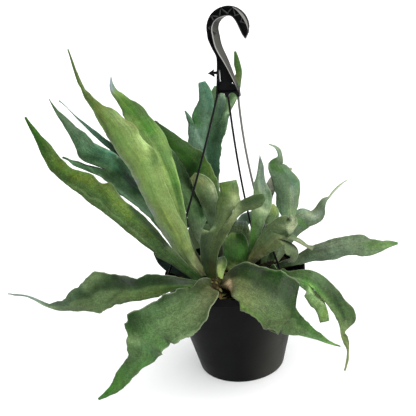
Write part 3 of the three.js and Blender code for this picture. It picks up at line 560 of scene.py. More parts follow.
def leaf_finish(name, roughness=0.5, bloom=0.22, specks=0.5, mottle=0.13, felt=0.5, rim=0.55):
    """bloom is how white the hairs make the skin, specks how dark its damage, mottle how much
    the green varies, felt how pale the underside is, rim how strong the painted highlight
    along the margin is."""
    material, tree, shader = new_finish(
        name, Specular_IOR_Level=0.14, Sheen_Weight=0.03, Sheen_Roughness=0.5,
        Sheen_Tint=(0.8, 0.9, 0.8))
    tint, depth = stored(tree, "tint", "Color"), stored(tree, "tint")
    edge, under = stored(tree, "edge"), stored(tree, "under")
    blade = node(tree, "UVMap", uv_map="blade").outputs["UV"]
    place = object_place(tree)
    clouds = noise(tree, place, 75, 5, 0.68)
    lumps = noise(tree, place, 210, 3, 0.6)
    grain = noise(tree, place, 560, 3, 0.7)
    veins = streaks(tree, blade, (50, 3, 1), 4, 0.7)
    value = 1
    for pattern, low, swing in ((clouds, 0.34, mottle * 1.2), (lumps, 0.36, mottle),
                                (grain, 0.36, mottle * 1.3), (veins, 0.34, 0.16)):
        swung = span(tree, pattern, low, 1 - low, 1 - swing, 1 + swing)
        value = maths(tree, "MULTIPLY", swung, value)
    hue = span(tree, noise(tree, place, 38, 2), 0.3, 0.7, 0.488, 0.512)
    green = node(tree, "HueSaturation", {"Color": tint, "Value": value, "Hue": hue})
    green = green.outputs["Color"]
    patch = span(tree, noise(tree, place, 60, 3), 0.42, 0.68)
    hairs = maths(tree, "MULTIPLY", patch, span(tree, grain, 0.5, 0.7, 0, bloom * 2.4))
    hairs = maths(tree, "MULTIPLY", hairs, span(tree, depth, 0, 0.09, 0.1, 1))
    green = mixed(tree, hairs, green, BLOOM_GREY * LIGHT_SHARE)
    dots = maths(tree, "MULTIPLY", span(tree, noise(tree, place, 300, 2), 0.66, 0.76),
                 span(tree, noise(tree, place, 45, 2), 0.5, 0.62, 0, specks))
    green = mixed(tree, dots, green, SPECK_BROWN * LIGHT_SHARE)
    green = mixed(tree, maths(tree, "MULTIPLY", under, felt), green, FELT_GREEN * LIGHT_SHARE)
    # a painted highlight along the margin, where light catches the edge
    line = span(tree, edge, 0.93, 0.99, 0, rim)
    green = mixed(tree, line, green, MARGIN_HIGHLIGHT_GREEN * LIGHT_SHARE)
    height = maths(tree, "ADD", maths(tree, "MULTIPLY", grain, 0.35),
                   maths(tree, "ADD", veins, lumps))
    rough = uneven(tree, roughness, clouds, 0.06, under, 0.25)
    wire(tree, shader, green, rough, height, 0.0006)
    return material


SKINS = {
    "leaf_grass": leaf_finish("grass green frond", bloom=0.3, specks=0.75, mottle=0.17),
    "leaf_dark": leaf_finish("dark frond", bloom=0.22, specks=0.6),
    "leaf_blue": leaf_finish("blue green frond", roughness=0.45, bloom=0.16, specks=0.3),
    "leaf_deep": leaf_finish("deep green frond", bloom=0.12, specks=0.3),
    "leaf_olive": leaf_finish("pale olive frond", roughness=0.46, bloom=0.18, specks=0.7,
                              mottle=0.1, rim=0.2),
    "leaf_fresh": leaf_finish("fresh green frond", bloom=0.14, specks=0.3, mottle=0.1, rim=0.35),
    "leaf_pale": leaf_finish("felted pale frond", roughness=0.7, bloom=0.3, specks=0.25, felt=0.2),
    "leaf_sea": leaf_finish("sea green frond", bloom=0.26, specks=0.3),
    "leaf_grey": leaf_finish("grey green frond", bloom=0.3, specks=0.4),
    "leaf_bright": leaf_finish("young green frond", roughness=0.4, bloom=0.08, specks=0.15),
    "shield_brown": leaf_finish("dry shield leaf", roughness=0.8, bloom=0.35, specks=0.8,
                                mottle=0.25),
}
print(len(SKINS), "leaf finishes")

# %% [markdown]
# ## The table of fronds
#
# These are the same rows as in the plain model: place of the midrib (x, y, z), half widths to the
# left and right, turn and curl in degrees. A row of five numbers has equal halves and no turn.
# columns says how finely a frond's width is divided, wave and scallop are the large ruffles and
# cuts of its margin, and lobes are the ribbons that grow on from its last row, each from one
# column to another.

# %% Rows of every frond
FRONDS = {
    "frond_front_left": dict(nibble=0.06, columns=6, wave=[2.5, 6, 0.4], scallop=[0.05, 9, 0],
        rows=[
        [-33, -52, 150, 4, 4, 20, 0], [-37, -72, 158, 17, 17, 36, 6],
        [-45, -92, 158, 27, 25, 40, 8], [-62, -103, 150, 32, 29, 28, 10],
        [-86, -108, 136, 33, 31, 15, 10], [-109, -109, 125, 30, 31, 10, 8],
        [-118, -110, 115, 31, 37, 7, 8], [-127, -110, 104, 32, 27, 5, 8],
        [-132, -109, 94, 26, 25, 2, 8], [-136, -108, 84, 20, 18, 0, 8], [-154, -103, 60, 11, 8],
        [-175, -97, 32, 7, 6, 0, 5], [-202, -93, 12, 1.5, 0]]),
    "frond_left_level": dict(nibble=0.05, columns=6, wave=[4, 4, 1], rows=[
        [-46, -52, 152, 4, 4, 20, 0], [-77, -65, 161, 5, 11, 15, 12],
        [-103, -64, 162, 14, 15, 5, 15], [-133, -63, 157, 14, 15, 0, 18], [-159, -62, 160, 20, 20],
        [-185, -61, 158, 27.5, 22], [-209, -60, 150, 17, 20], [-229, -57, 146, 12, 15],
        [-249, -52, 139, 5, 10], [-266, -45, 140, 2.5, 5], [-289, -35, 148, 1.5, 0],
        [-323, -20, 148, 1, 0]]),
    "frond_left_rising": dict(wave=[1.2, 6, 2], rows=[
        [-46, -44, 151, 4, 0], [-70, -42, 179, 8, 15], [-95, -36, 202, 9, 15],
        [-118, -28, 228, 12, 15], [-141, -21, 248, 14, 15], [-161, -13, 267, 15.5, 15],
        [-179, -5, 282, 16.5, 15], [-200, 3, 298, 15.5, 15], [-221, 12, 312, 11.5, 12],
        [-236, 19, 324, 10.5, 10], [-246, 27, 343, 7.5, 8], [-258, 35, 361, 4, 5],
        [-271, 44, 385, 1.5, 0]]),
    "frond_left_broad": dict(nibble=0.05, columns=6, wave=[2, 3, 0], rows=[
        [-46, -30, 150, 4, 0], [-74, -5, 196, 8, 8], [-92, 2, 225, 12, 10],
        [-110, 9, 250, 16.5, 12], [-129, 17, 270, 18.5, 15], [-146, 28, 291, 19.5, 15],
        [-165, 38, 306, 19.5, 12]], lobes=[
        ((0, 2), [
            [-182, 43, 302, 8.5, 6, 0, 5], [-197, 48, 307, 5.5, 5], [-213, 53, 313, 3, 0],
            [-233, 60, 319, 1.5, 0]]),
        ((2, 6), [
            [-174, 43, 314, 13.5, 16.5, 0, 12], [-194, 53, 332, 13.5, 10],
            [-203, 58, 345, 10.5, 8], [-214, 64, 359, 8, 5], [-225, 70, 375, 5.5, 5],
            [-235, 76, 388, 2.5, 0], [-242, 81, 401, 1.5, 0]])]),
    "frond_left_narrow": dict(rows=[
        [-41, -22, 149, 3.5, 0], [-75, 19, 199, 9, 5], [-101, 37, 248, 13.5, 8],
        [-127, 56, 295, 14.5, 8], [-150, 68, 318, 12.5, 8], [-172, 80, 335, 8.5, 6],
        [-191, 89, 349, 4, 4], [-207, 98, 365, 3, 2], [-222, 106, 381, 1.5, 0],
        [-237, 113, 392, 1.5, 0]]),
    "frond_tall_front": dict(columns=6, keel=[35, 0], wave=[2, 5, 0], rows=[
        [-37, -40, 150, 4, 0], [-63, -39, 198, 12, 10, 0, 10], [-77, -39, 243, 23, 17, 0, 14],
        [-88, -38, 271, 27, 20, 0, 16], [-97, -36, 304, 31, 23, 0, 18],
        [-107, -32, 332, 35, 25, 0, 18], [-120, -27, 356, 30, 22, 0, 16],
        [-132, -22, 377, 27, 18, 0, 14], [-145, -17, 392, 15, 9, 0, 12],
        [-156, -13, 402, 9, 5.5, 0, 10], [-167, -9, 412, 4.5, 4, 0, 8],
        [-176, -4, 426, 3, 2.5, 0, 5], [-185, 3, 446, 2, 1.5, 0, 0], [-191, 11, 474, 1, 0]]),
    "frond_tall_behind": dict(wave=[2, 4, 1], rows=[
        [-33, -31, 150, 3.5, 0], [-52, -28, 184, 5, 8], [-63, -27, 216, 5.5, 10],
        [-68, -22, 253, 8.5, 12], [-75, -13, 287, 12, 14], [-85, 0, 317, 15.5, 15],
        [-96, 14, 343, 19, 15], [-108, 25, 364, 18.5, 14], [-122, 37, 386, 14.5, 12],
        [-135, 46, 397, 8.5, 10], [-145, 54, 409, 5, 8], [-148, 59, 418, 2.5, 4],
        [-148, 64, 426, 1.5, 0]]),
    "frond_arching": dict(nibble=0.05, wave=[2, 3, 0], rows=[
        [-12, 40, 150, 4, 0], [-18, 41, 202, 11, 10], [-25, 39, 246, 17, 14],
        [-29, 36, 276, 22.5, 16], [-39, 34, 300, 19.5, 16], [-52, 33, 317, 14.5, 14],
        [-66, 33, 332, 10, 10], [-81, 34, 349, 7, 6], [-97, 35, 361, 2, 0]]),
    "frond_rolled": dict(rows=[
        [-18, 30, 150, 4, 4, 180, 0], [-21, 6, 206, 6.5, 6.5, 180, 5],
        [-26, 3, 234, 9, 9, 180, 15], [-27, 1, 256, 13, 13, 180, 25],
        [-31, 0, 272, 14.5, 14.5, 180, 28], [-39, 2, 284, 11, 11, 180, 25],
        [-46, 5, 291, 5, 5, 180, 10]]),
    "frond_back_lobed": dict(nibble=0.06, columns=6, wave=[2, 4, 0.5], rows=[
        [-19, 58, 150, 4, 0], [-23, 68, 207, 10, 8], [-26, 72, 247, 14, 10],
        [-27, 75, 279, 19.5, 12], [-27, 77, 307, 23, 12], [-25, 78, 324, 25.5, 12],
        [-22, 79, 341, 26.5, 12]], lobes=[
        ((0, 1), [
            [-43, 79, 344, 4, 0], [-46, 81, 355, 3, 0], [-51, 81, 366, 1, 0]]),
        ((1, 3), [
            [-31, 78, 344, 9.5, 5], [-28, 80, 361, 11.5, 8], [-21, 81, 377, 9.5, 8],
            [-21, 82, 392, 8.5, 8], [-23, 82, 405, 4.5, 0]]),
        ((3, 4), [
            [-12, 78, 344, 6, 5], [-6, 80, 361, 7.5, 5], [-3, 82, 382, 7, 5],
            [-2, 83, 397, 2.5, 0]]),
        ((4, 6), [
            [-1, 77, 342, 7, 7, -15, 5], [8, 78, 362, 7, 7, -20, 5], [23, 78, 381, 5.5, 5],
            [29, 80, 402, 3.5, 5], [30, 81, 421, 4, 5], [28, 83, 443, 1.5, 0]])]),
    "frond_centre_forked": dict(columns=6, rows=[
        [-29, -48, 150, 4, 0], [-33, -51, 178, 9.5, 15], [-31, -53, 202, 13, 15],
        [-23, -56, 228, 18, 12]], lobes=[
        ((2, 4), [
            [-17, -56, 231, 6, 7, 0, 8], [-9, -58, 246, 10, 12], [-5, -59, 265, 12, 15],
            [2, -59, 283, 12, 15], [1, -57, 297, 11.5, 11, 0, 10]]),
        ((4, 6), [
            [-11, -58, 230, 7, 7, 5, 5], [7, -65, 253, 5, 5, 20, 5], [17, -70, 265, 8, 9, 25, 10],
            [27, -76, 272, 8, 12, 25, 15], [36, -79, 277, 7, 12, 20, 15],
            [45, -81, 282, 2, 5, 0, 5]])]),
    "frond_upright": dict(rows=[
        [19, -14, 150, 4, 0], [25, -28, 181, 5.5, 8], [31, -42, 210, 7, 10], [36, -52, 236, 9, 10],
        [41, -57, 258, 12, 10], [43, -58, 274, 10, 10], [43, -57, 289, 7.5, 10],
        [45, -56, 308, 5, 8], [45, -55, 327, 1.2, 0]]),
    "frond_right_tall": dict(columns=6, wave=[1.5, 3, 0], rows=[
        [50, 9, 143, 4, 0], [65, 15, 177, 6.5, 10], [79, 21, 202, 9, 15], [82, 25, 224, 15, 18],
        [84, 26, 243, 18, 20], [82, 28, 259, 20.5, 20], [79, 29, 275, 19, 20],
        [73, 29, 288, 10, 15], [77, 30, 299, 3.5, 5], [76, 31, 309, 2.5, 0], [63, 32, 318, 1, 0]]),
    "frond_right_curl": dict(wave=[1.5, 3, 1], rows=[
        [56, 16, 143, 4, 0], [75, 29, 165, 7.5, 8], [91, 37, 184, 8.5, 12],
        [106, 43, 200, 14.5, 16], [122, 45, 203, 11, 18], [133, 47, 210, 9.5, 15],
        [139, 49, 219, 5.5, 10], [145, 50, 228, 3, 4], [157, 53, 238, 2.5, 0],
        [174, 55, 248, 1.5, 0]]),
    "frond_right_folded": dict(columns=6, rows=[
        [14, -27, 150, 4, 4, -10, 0], [26, -44, 180, 6.5, 6.5, -10, 8],
        [40, -60, 203, 12, 12, -10, 12], [56, -70, 222, 18.5, 18.5, -10, 15]], lobes=[
        ((0, 2), [
            [57, -70, 234, 8, 10], [69, -72, 241, 8, 7, 0, 15], [77, -75, 243, 5, 20],
            [78, -77, 251, 1.2, 0]]),
        ((2, 4), [
            [62, -71, 224, 7, 7, -10, 10], [75, -73, 223, 6.5, 6.5, -10, 10],
            [85, -74, 217, 5, 5, -10, 10], [93, -76, 208, 2, 0], [103, -78, 201, 1.2, 0]]),
        ((4, 6), [
            [63, -71, 212, 8, 8, -15, 10], [72, -73, 206, 8, 8, -20, 10],
            [79, -75, 198, 7, 7, -20, 10], [77, -77, 184, 1.2, 0]])]),
    "frond_right_level": dict(wave=[2, 4, 0], rows=[
        [52, -8, 146, 3.5, 0], [69, -9, 153, 4.5, 8], [92, -6, 157, 5.5, 10],
        [113, -3, 162, 10.5, 14], [136, 0, 164, 14, 16], [161, 3, 168, 14, 16],
        [179, 6, 166, 15.5, 14], [194, 7, 162, 14.5, 12], [210, 9, 161, 9, 8],
        [223, 11, 162, 4.5, 4], [236, 12, 161, 1.5, 0]]),
    "frond_front_right": dict(nibble=0.06, columns=6, wave=[2.5, 5, 0], scallop=[0.05, 8, 1],
        rows=[
        [-22, -51, 150, 4, 4, -20, 0], [-7, -72, 164, 15, 14, -24, 12],
        [6, -91, 170, 25, 25, -26, 16], [23, -102, 163, 31, 31, -24, 18],
        [39, -110, 155, 35, 36, -22, 20], [57, -115, 146, 32, 36, -18, 20],
        [64, -116, 140, 33, 30, -15, 19], [71, -116, 134, 12, 25, -12, 18],
        [76, -115, 119, 7, 18, -6, 14], [86, -113, 106, 9.5, 10], [101, -110, 92, 5, 6],
        [116, -107, 79, 2.5, 2], [130, -104, 70, 1.2, 0]]),
    "frond_right_hanging": dict(columns=6, rows=[
        [46, -15, 145, 3.5, 3.5, -5, 0], [58, -43, 157, 6, 4, -10, 8],
        [82, -68, 158, 11, 7, -12, 12], [97, -76, 156, 15, 15, -10, 15]], lobes=[
        ((0, 4), [
            [101, -78, 157, 10, 10, -10, 15], [113, -80, 149, 11, 11, -10, 15],
            [124, -84, 136, 11.5, 11.5, -5, 15], [133, -88, 122, 12, 18], [141, -91, 104, 14, 20],
            [139, -91, 89, 5, 6, 0, 15], [141, -89, 71, 4, 5], [143, -87, 58, 2.5, 0],
            [143, -85, 41, 1.2, 0], [138, -83, 20, 1.2, 0]]),
        ((4, 6), [
            [96, -77, 148, 6, 9, -10, 8], [99, -79, 137, 7.5, 10.5, -10, 10],
            [106, -84, 127, 7.5, 9, -5, 12], [111, -89, 115, 6.5, 12], [113, -91, 102, 6, 5]])]),
    "frond_low_dark": dict(rows=[
        [-51, -37, 151, 3.5, 3.5, 10, 0], [-79, -16, 160, 6, 6, 10, 8],
        [-94, -6, 164, 7, 7, 10, 10], [-104, 3, 169, 5, 5, 5, 8], [-113, 10, 179, 1.2, 0]]),
    "shield_young": dict(rows=[
        [3, -20, 150, 6, 20], [3, -23, 165, 12, 20], [3, -27, 179, 14.5, 20],
        [6, -28, 194, 15, 25], [7, -26, 206, 11, 25], [7, -23, 213, 5, 15]]),
    "shield_old": dict(rows=[
        [10, -4, 149, 6, 20], [13, -6, 168, 10, 15], [14, -9, 189, 12, 15], [14, -11, 209, 11, 20],
        [16, -9, 223, 6, 15]]),
    "frond_bud": dict(rows=[
        [-21, -42, 150, 2.5, 0], [-19, -45, 168, 5.5, 15], [-16, -46, 180, 7, 20],
        [-17, -46, 188, 5, 15]]),
    "frond_strap": dict(rows=[
        [-26, 38, 150, 4, 0], [-50, 35, 194, 6, 8], [-57, 41, 236, 7.5, 10], [-61, 45, 268, 9, 12],
        [-64, 47, 292, 9.5, 12], [-71, 49, 315, 7, 10], [-77, 53, 333, 2, 0]]),
    "frond_young_green": dict(rows=[
        [41, 6, 145, 3.5, 0], [50, 16, 175, 6, 10], [58, 20, 205, 8, 15], [62, 21, 222, 8, 15],
        [60, 22, 233, 4, 10]]),
    "frond_back_right": dict(rows=[
        [42, 14, 144, 3.5, 0], [46, 40, 190, 8, 10], [52, 46, 225, 9, 12], [60, 46, 246, 8, 12],
        [72, 44, 264, 8, 12], [86, 42, 274, 5, 8], [94, 40, 278, 1.5, 0]]),
    "frond_back_crossing": dict(rows=[
        [-2, 46, 149, 3.5, 0], [8, 50, 180, 7, 5], [2, 52, 200, 9, 10], [-20, 50, 211, 9, 12],
        [-45, 48, 212, 10, 12], [-66, 46, 205, 6, 8], [-80, 44, 196, 1.5, 0]]),
    "frond_back_hanging": dict(face=[0, 0.5, 0.87], rows=[
        [-20, 64, 148, 4, 0], [-26, 90, 172, 12, 8], [-34, 118, 178, 22, 12],
        [-44, 146, 162, 26, 14], [-54, 166, 130, 20, 12], [-62, 176, 92, 12, 10],
        [-66, 178, 62, 2, 0]]),
    "frond_back_level": dict(columns=6, face=[0, 0.3, 0.95], rows=[
        [-4, 58, 148, 4, 0], [14, 86, 176, 10, 10], [36, 114, 190, 17, 14],
        [62, 138, 186, 20, 16]], lobes=[
        ((0, 3), [
            [64, 144, 183, 9, 10], [68, 166, 170, 10, 12], [70, 184, 148, 2, 0]]),
        ((3, 6), [
            [66, 142, 184, 9, 10], [88, 148, 176, 9, 12], [104, 152, 168, 6, 8],
            [114, 154, 161, 1.5, 0]])]),
}

print(len(FRONDS), "fronds with", sum(len(f.get("lobes", ())) for f in FRONDS.values()), "lobes")

# %% [markdown]
# A smooth ribbon has margins like a ruler. Real ones are ragged: bitten, notched and bulging.
# For each ribbon of a frond, first the trunk and then its lobes, this table says how far its left
# and its right margin stand out from the smooth one. The first number is where along the ribbon
# the list starts, in millimetres. The others are tenths of a millimetre, one every six. They were
# measured on the picture's outline or along a line drawn over it.

# %% Ragged margins
EDGES = {
    "frond_front_left": [((12, 110, 21, -18, -45, -53, -54, -39, -23, -12, -11, 2, 11, 17, -2, -19,
        -14, -11, -8, -14, -37, -38, -17, -21, -22, -5, 24, 38, 4, -11, -15, 4, 17, 23, 19, 16, 15,
        17, 7, 8, 4, 6, 7, 3), (114, 4, -11, 19, 30, 32, 57, -57, -34, -26, -17, -32, -25, -18,
        -13, -2, 9, 16, 24, 27, 25, 12, 10, 7, 6, -1, 2))],
    "frond_left_level": [((72, 8, 7, 6, 3, 5, 9, 15, 13, 6, -7, -4, -29, -6, 27, 44, 21, 15, 17,
        21, 26, 30, 30, 21, 12, 2, -2, -2, -3, -2, 0, 3, -1, 0, 2, 3, 4, -5), (54, -5, 7, 15, 33,
        28, 24, 13, 8, 7, 10, 9, 18, -1, -7, 1, 23, 11, 10, 9, 24, 10, 24, 4, -54, -51, -6, 6, 5,
        -17, -9, -1, 1, -1, -2, 0, 0, 0, 0, -4, 3))],
    "frond_left_rising": [((66, 29, 46, 21, 27, 33, 36, 37, 36, 32, 28, 24, 15, 10, 8, 5, 5, 6, 6,
        9, 12, 13, 14, 12, 8, 2, 4, 9, 15, 23, 27, 29, 23, 13, 16, 0, 3, 14, 21, 19, 15, 11, 5, 6,
        7, 6, 6), (30, -22, -20, -15, -8, 2, 8, 13, 22, 25, 28, 30, 27, 26, 26, 28, 32, 37, 34, 29,
        25, 17, 11, 13, 19, 40, 56, 58, -18, -20, -10, 6, -2, -17, -32, -42, -42, -31, -15, -5, 1,
        6, 5, 3, 9, 3, 3, 1, 9, 9, 5, -1, -4))],
    "frond_left_broad": [((36, 17, 21, 25, 26, 25, 22, 17, 12, 6, -3, -10, -17, -26, -28, -31, -34,
        -38, -39, -38, -38, -36, -8, 14, 16, 16, 12, 8, 3, -5), ()), ((18, 23, 32, 39, 40), (18,
        -41, -35, -20, -20, -22, -6, -1)), ((6, 35, 46, 58, 72, 75, 39, 30, 22, 6, 0, 1, 4, -1, 4,
        8, 9, 8, 6), (30, -28, -7, -2, 3, -10, -15, -16, -17, -18, -21, -23, -21, -15, -16, -24))],
    "frond_left_narrow": [((228, -32, -31, -29, -23, -19, -14, -9, -5, -4, -3, -2, -1, 1, 5, 9, 11,
        11, 6, 1, -6), (216, -183, -163, -131, -111, -89, -75, -70, -57, -42, -23, -15, -12, -16,
        -22, -27, -33, -37, -34, -31, -22, -13, -4))],
    "frond_tall_front": [((30, 48, 52, 56, 57, 61, 63, 65, 67, 66, 64, 57, 52, 46, 37, 23, 16, 11,
        9, 10, 12, 11, 8, 5, 2, -3, -7, -12, -12, -10, -3, 11, 17, 22, 30, 29, 27, 28, 43, 61, 78,
        95, 93, 77, 54, 47, 41, 40, 19, 7, 15, 5, -2, -8, -8, -8, -8), (102, -60, -61, -59, -58,
        -56, -58, -63, -69, -78, -82, -85, -84, -82, -77, -68, -59, -66, -72, -92, -97, -89, -57,
        -53, -66, -86, -81, -54, -28, -14, -28, -34, -22, -17, -8, -1, -18, -8, 0, 6, 13, 15, 18,
        15, 9))],
    "frond_tall_behind": [((270, 18, -5, -8, -8, -7, -3, 2, 3, -3, -8), (222, -14, -22, -31, -37,
        -35, -34, -33, -33, -38, -44, -21, -6, -1, -14, -8, 1, 1, -7))],
    "frond_arching": [((), (108, -51, -65, -75, -85, -85, -85, -74, -61, -37, -20, -25, -35, -22,
        -13, -7, -4, -5, -7, -8, 0, 14, 51))],
    "frond_back_lobed": [((174, 16, 12, -1, 11), (108, -1, -8, -8, -8, -6, -2, 1, 4, 5, 4, 1, -4,
        2, 14, 41)), ((0, 11, 7, 14, 5), ()), ((6, 34, 34, 5, -5, 1, 0, -6, -10, -3, 7), (6, 37,
        42, 44, 47, 41, 25, 18, 15, 10, 7)), ((6, 32, 34, 30, 28, 26, 30, 32, 36), (6, 39, 39, 48,
        54, 57, 49, 35)), ((0, -4, 11, 32, 48, 63, 97, 92, 87, 83, 64, 43, 35, 47, 1, 4, 18, 15,
        11, 8), (0, 35, 24, 13, 10, 8, -6, -15, -21, -17, -9, -2, 2, 8, 12, 11, 1, 1, 0, -3))],
    "frond_centre_forked": [((), ()), ((), (48, 55, 9, 10, 9))],
    "frond_upright": [((138, 7, 11, 23, 3, -1, -3, -2, -1, -4), (108, 2, 10, 18, 26, 35, 32, 17, 3,
        -11, -15, -15, -6, -7, -11))],
    "frond_right_tall": [((78, -40, -23, -4, 0, -5, -13, -31, -37, -38, -31, -22, -3, 16, 44, 20,
        -1, 8, 12, -7), (96, 6, -1, -1, 9, 11, 11, -24, -62, -50, -38, -26, 3, 5, 2, -2, 4))],
    "frond_right_curl": [((84, 3, -18, -36, -36, -21, 0, 18, 16, -34, -27, -16, -11, -5), (60, 17,
        28, 28, 22, 23, 23, 28, 31, 2, -35, -29, -19, 5, 5, -2, -6, -12, -18))],
    "frond_right_folded": [((), ()), ((), (0, 94, 118, 123, 127, 47)), ((12, -32, -45, -46, -14, 7,
        12, 42), ()), ((), (12, 26, 17, 22, 6, 60))],
    "frond_right_level": [((48, 20, 20, 16, 13, 7, 5, 3, 5, 6, 6, 2, -1, -10, -7, 1, 2, -30, -30,
        -13, -8, -10, 1, 5, 2), (30, 15, 17, 24, 15, 8, 1, 0, 2, -1, -2, 3, 5, 6, 7, 2, -2, -4, 0,
        1, -4, -7, -7, 0, 3, 11, 10, 4))],
    "frond_front_right": [((6, -30, -26, -19, -1, 43, 51, 75, 72, 60, 53, 59, 85, 86, 73, 68, 81,
        93, 81, 59, 34, 55, -61, -27, 2, 15, 10, -9, -29, -23, -8, 6, 1, 1, 2, 3, 1, 6), (60, -52,
        -66, 41, -14, -42, -39, 3, -6, -20, 10, 57, 71, 87, 179, 0, 100, 50, 31, 18, 11, 7, 3, 0,
        -5, -7, -8, -9, -13))],
    "frond_right_hanging": [((24, 60, -11, -9, 7, -27, -20, -4, 13, 13, 13, -5), ()), ((0, -5, 3,
        2, 2, -1, -1, 5, 2, -7, -4, 2, 2, 8, 2, -1, -44, -15, -12, -2, -6, -7, -5, 2, 6, 6, 7), (0,
        18, 23, 29, 27, 23, 21, 15, 7, 5, -6, -14, -20, -12, 1, 3, 16, 16, 15, 13, 2, -4, 2, 8, 8,
        2, -5)), ((0, 3, 12, 16, 13, 10, 9, 8, 5, 2), (6, 42, 1, 6, 18, -5, 6, 12, 10))],
    "shield_young": [((6, 50, 40, 36, 30, 29, 31, 32, 37, 38, 48), (12, 68, 71, 63, 49, 36, 21, 14,
        14, 21))],
    "shield_old": [((6, 129, 128, 125, 123, 120, 114, 109, 101, 82, 68, 52, 42), (12, 50, 36, 27,
        18, 12, 9, 9, 10, 14, 18, 10))],
    "frond_strap": [((), (66, 143, 137, 131, 120, 108, 92, 78, 62, 40, 29, 17, 6, -6, -11, -11))],
    "frond_back_level": [((30, 13, 18, 26, 33, 41, 48, 57, 68, 80, 97), ())],
}
print("ragged margins:", sum(len(e) for e in EDGES.values()), "ribbons")
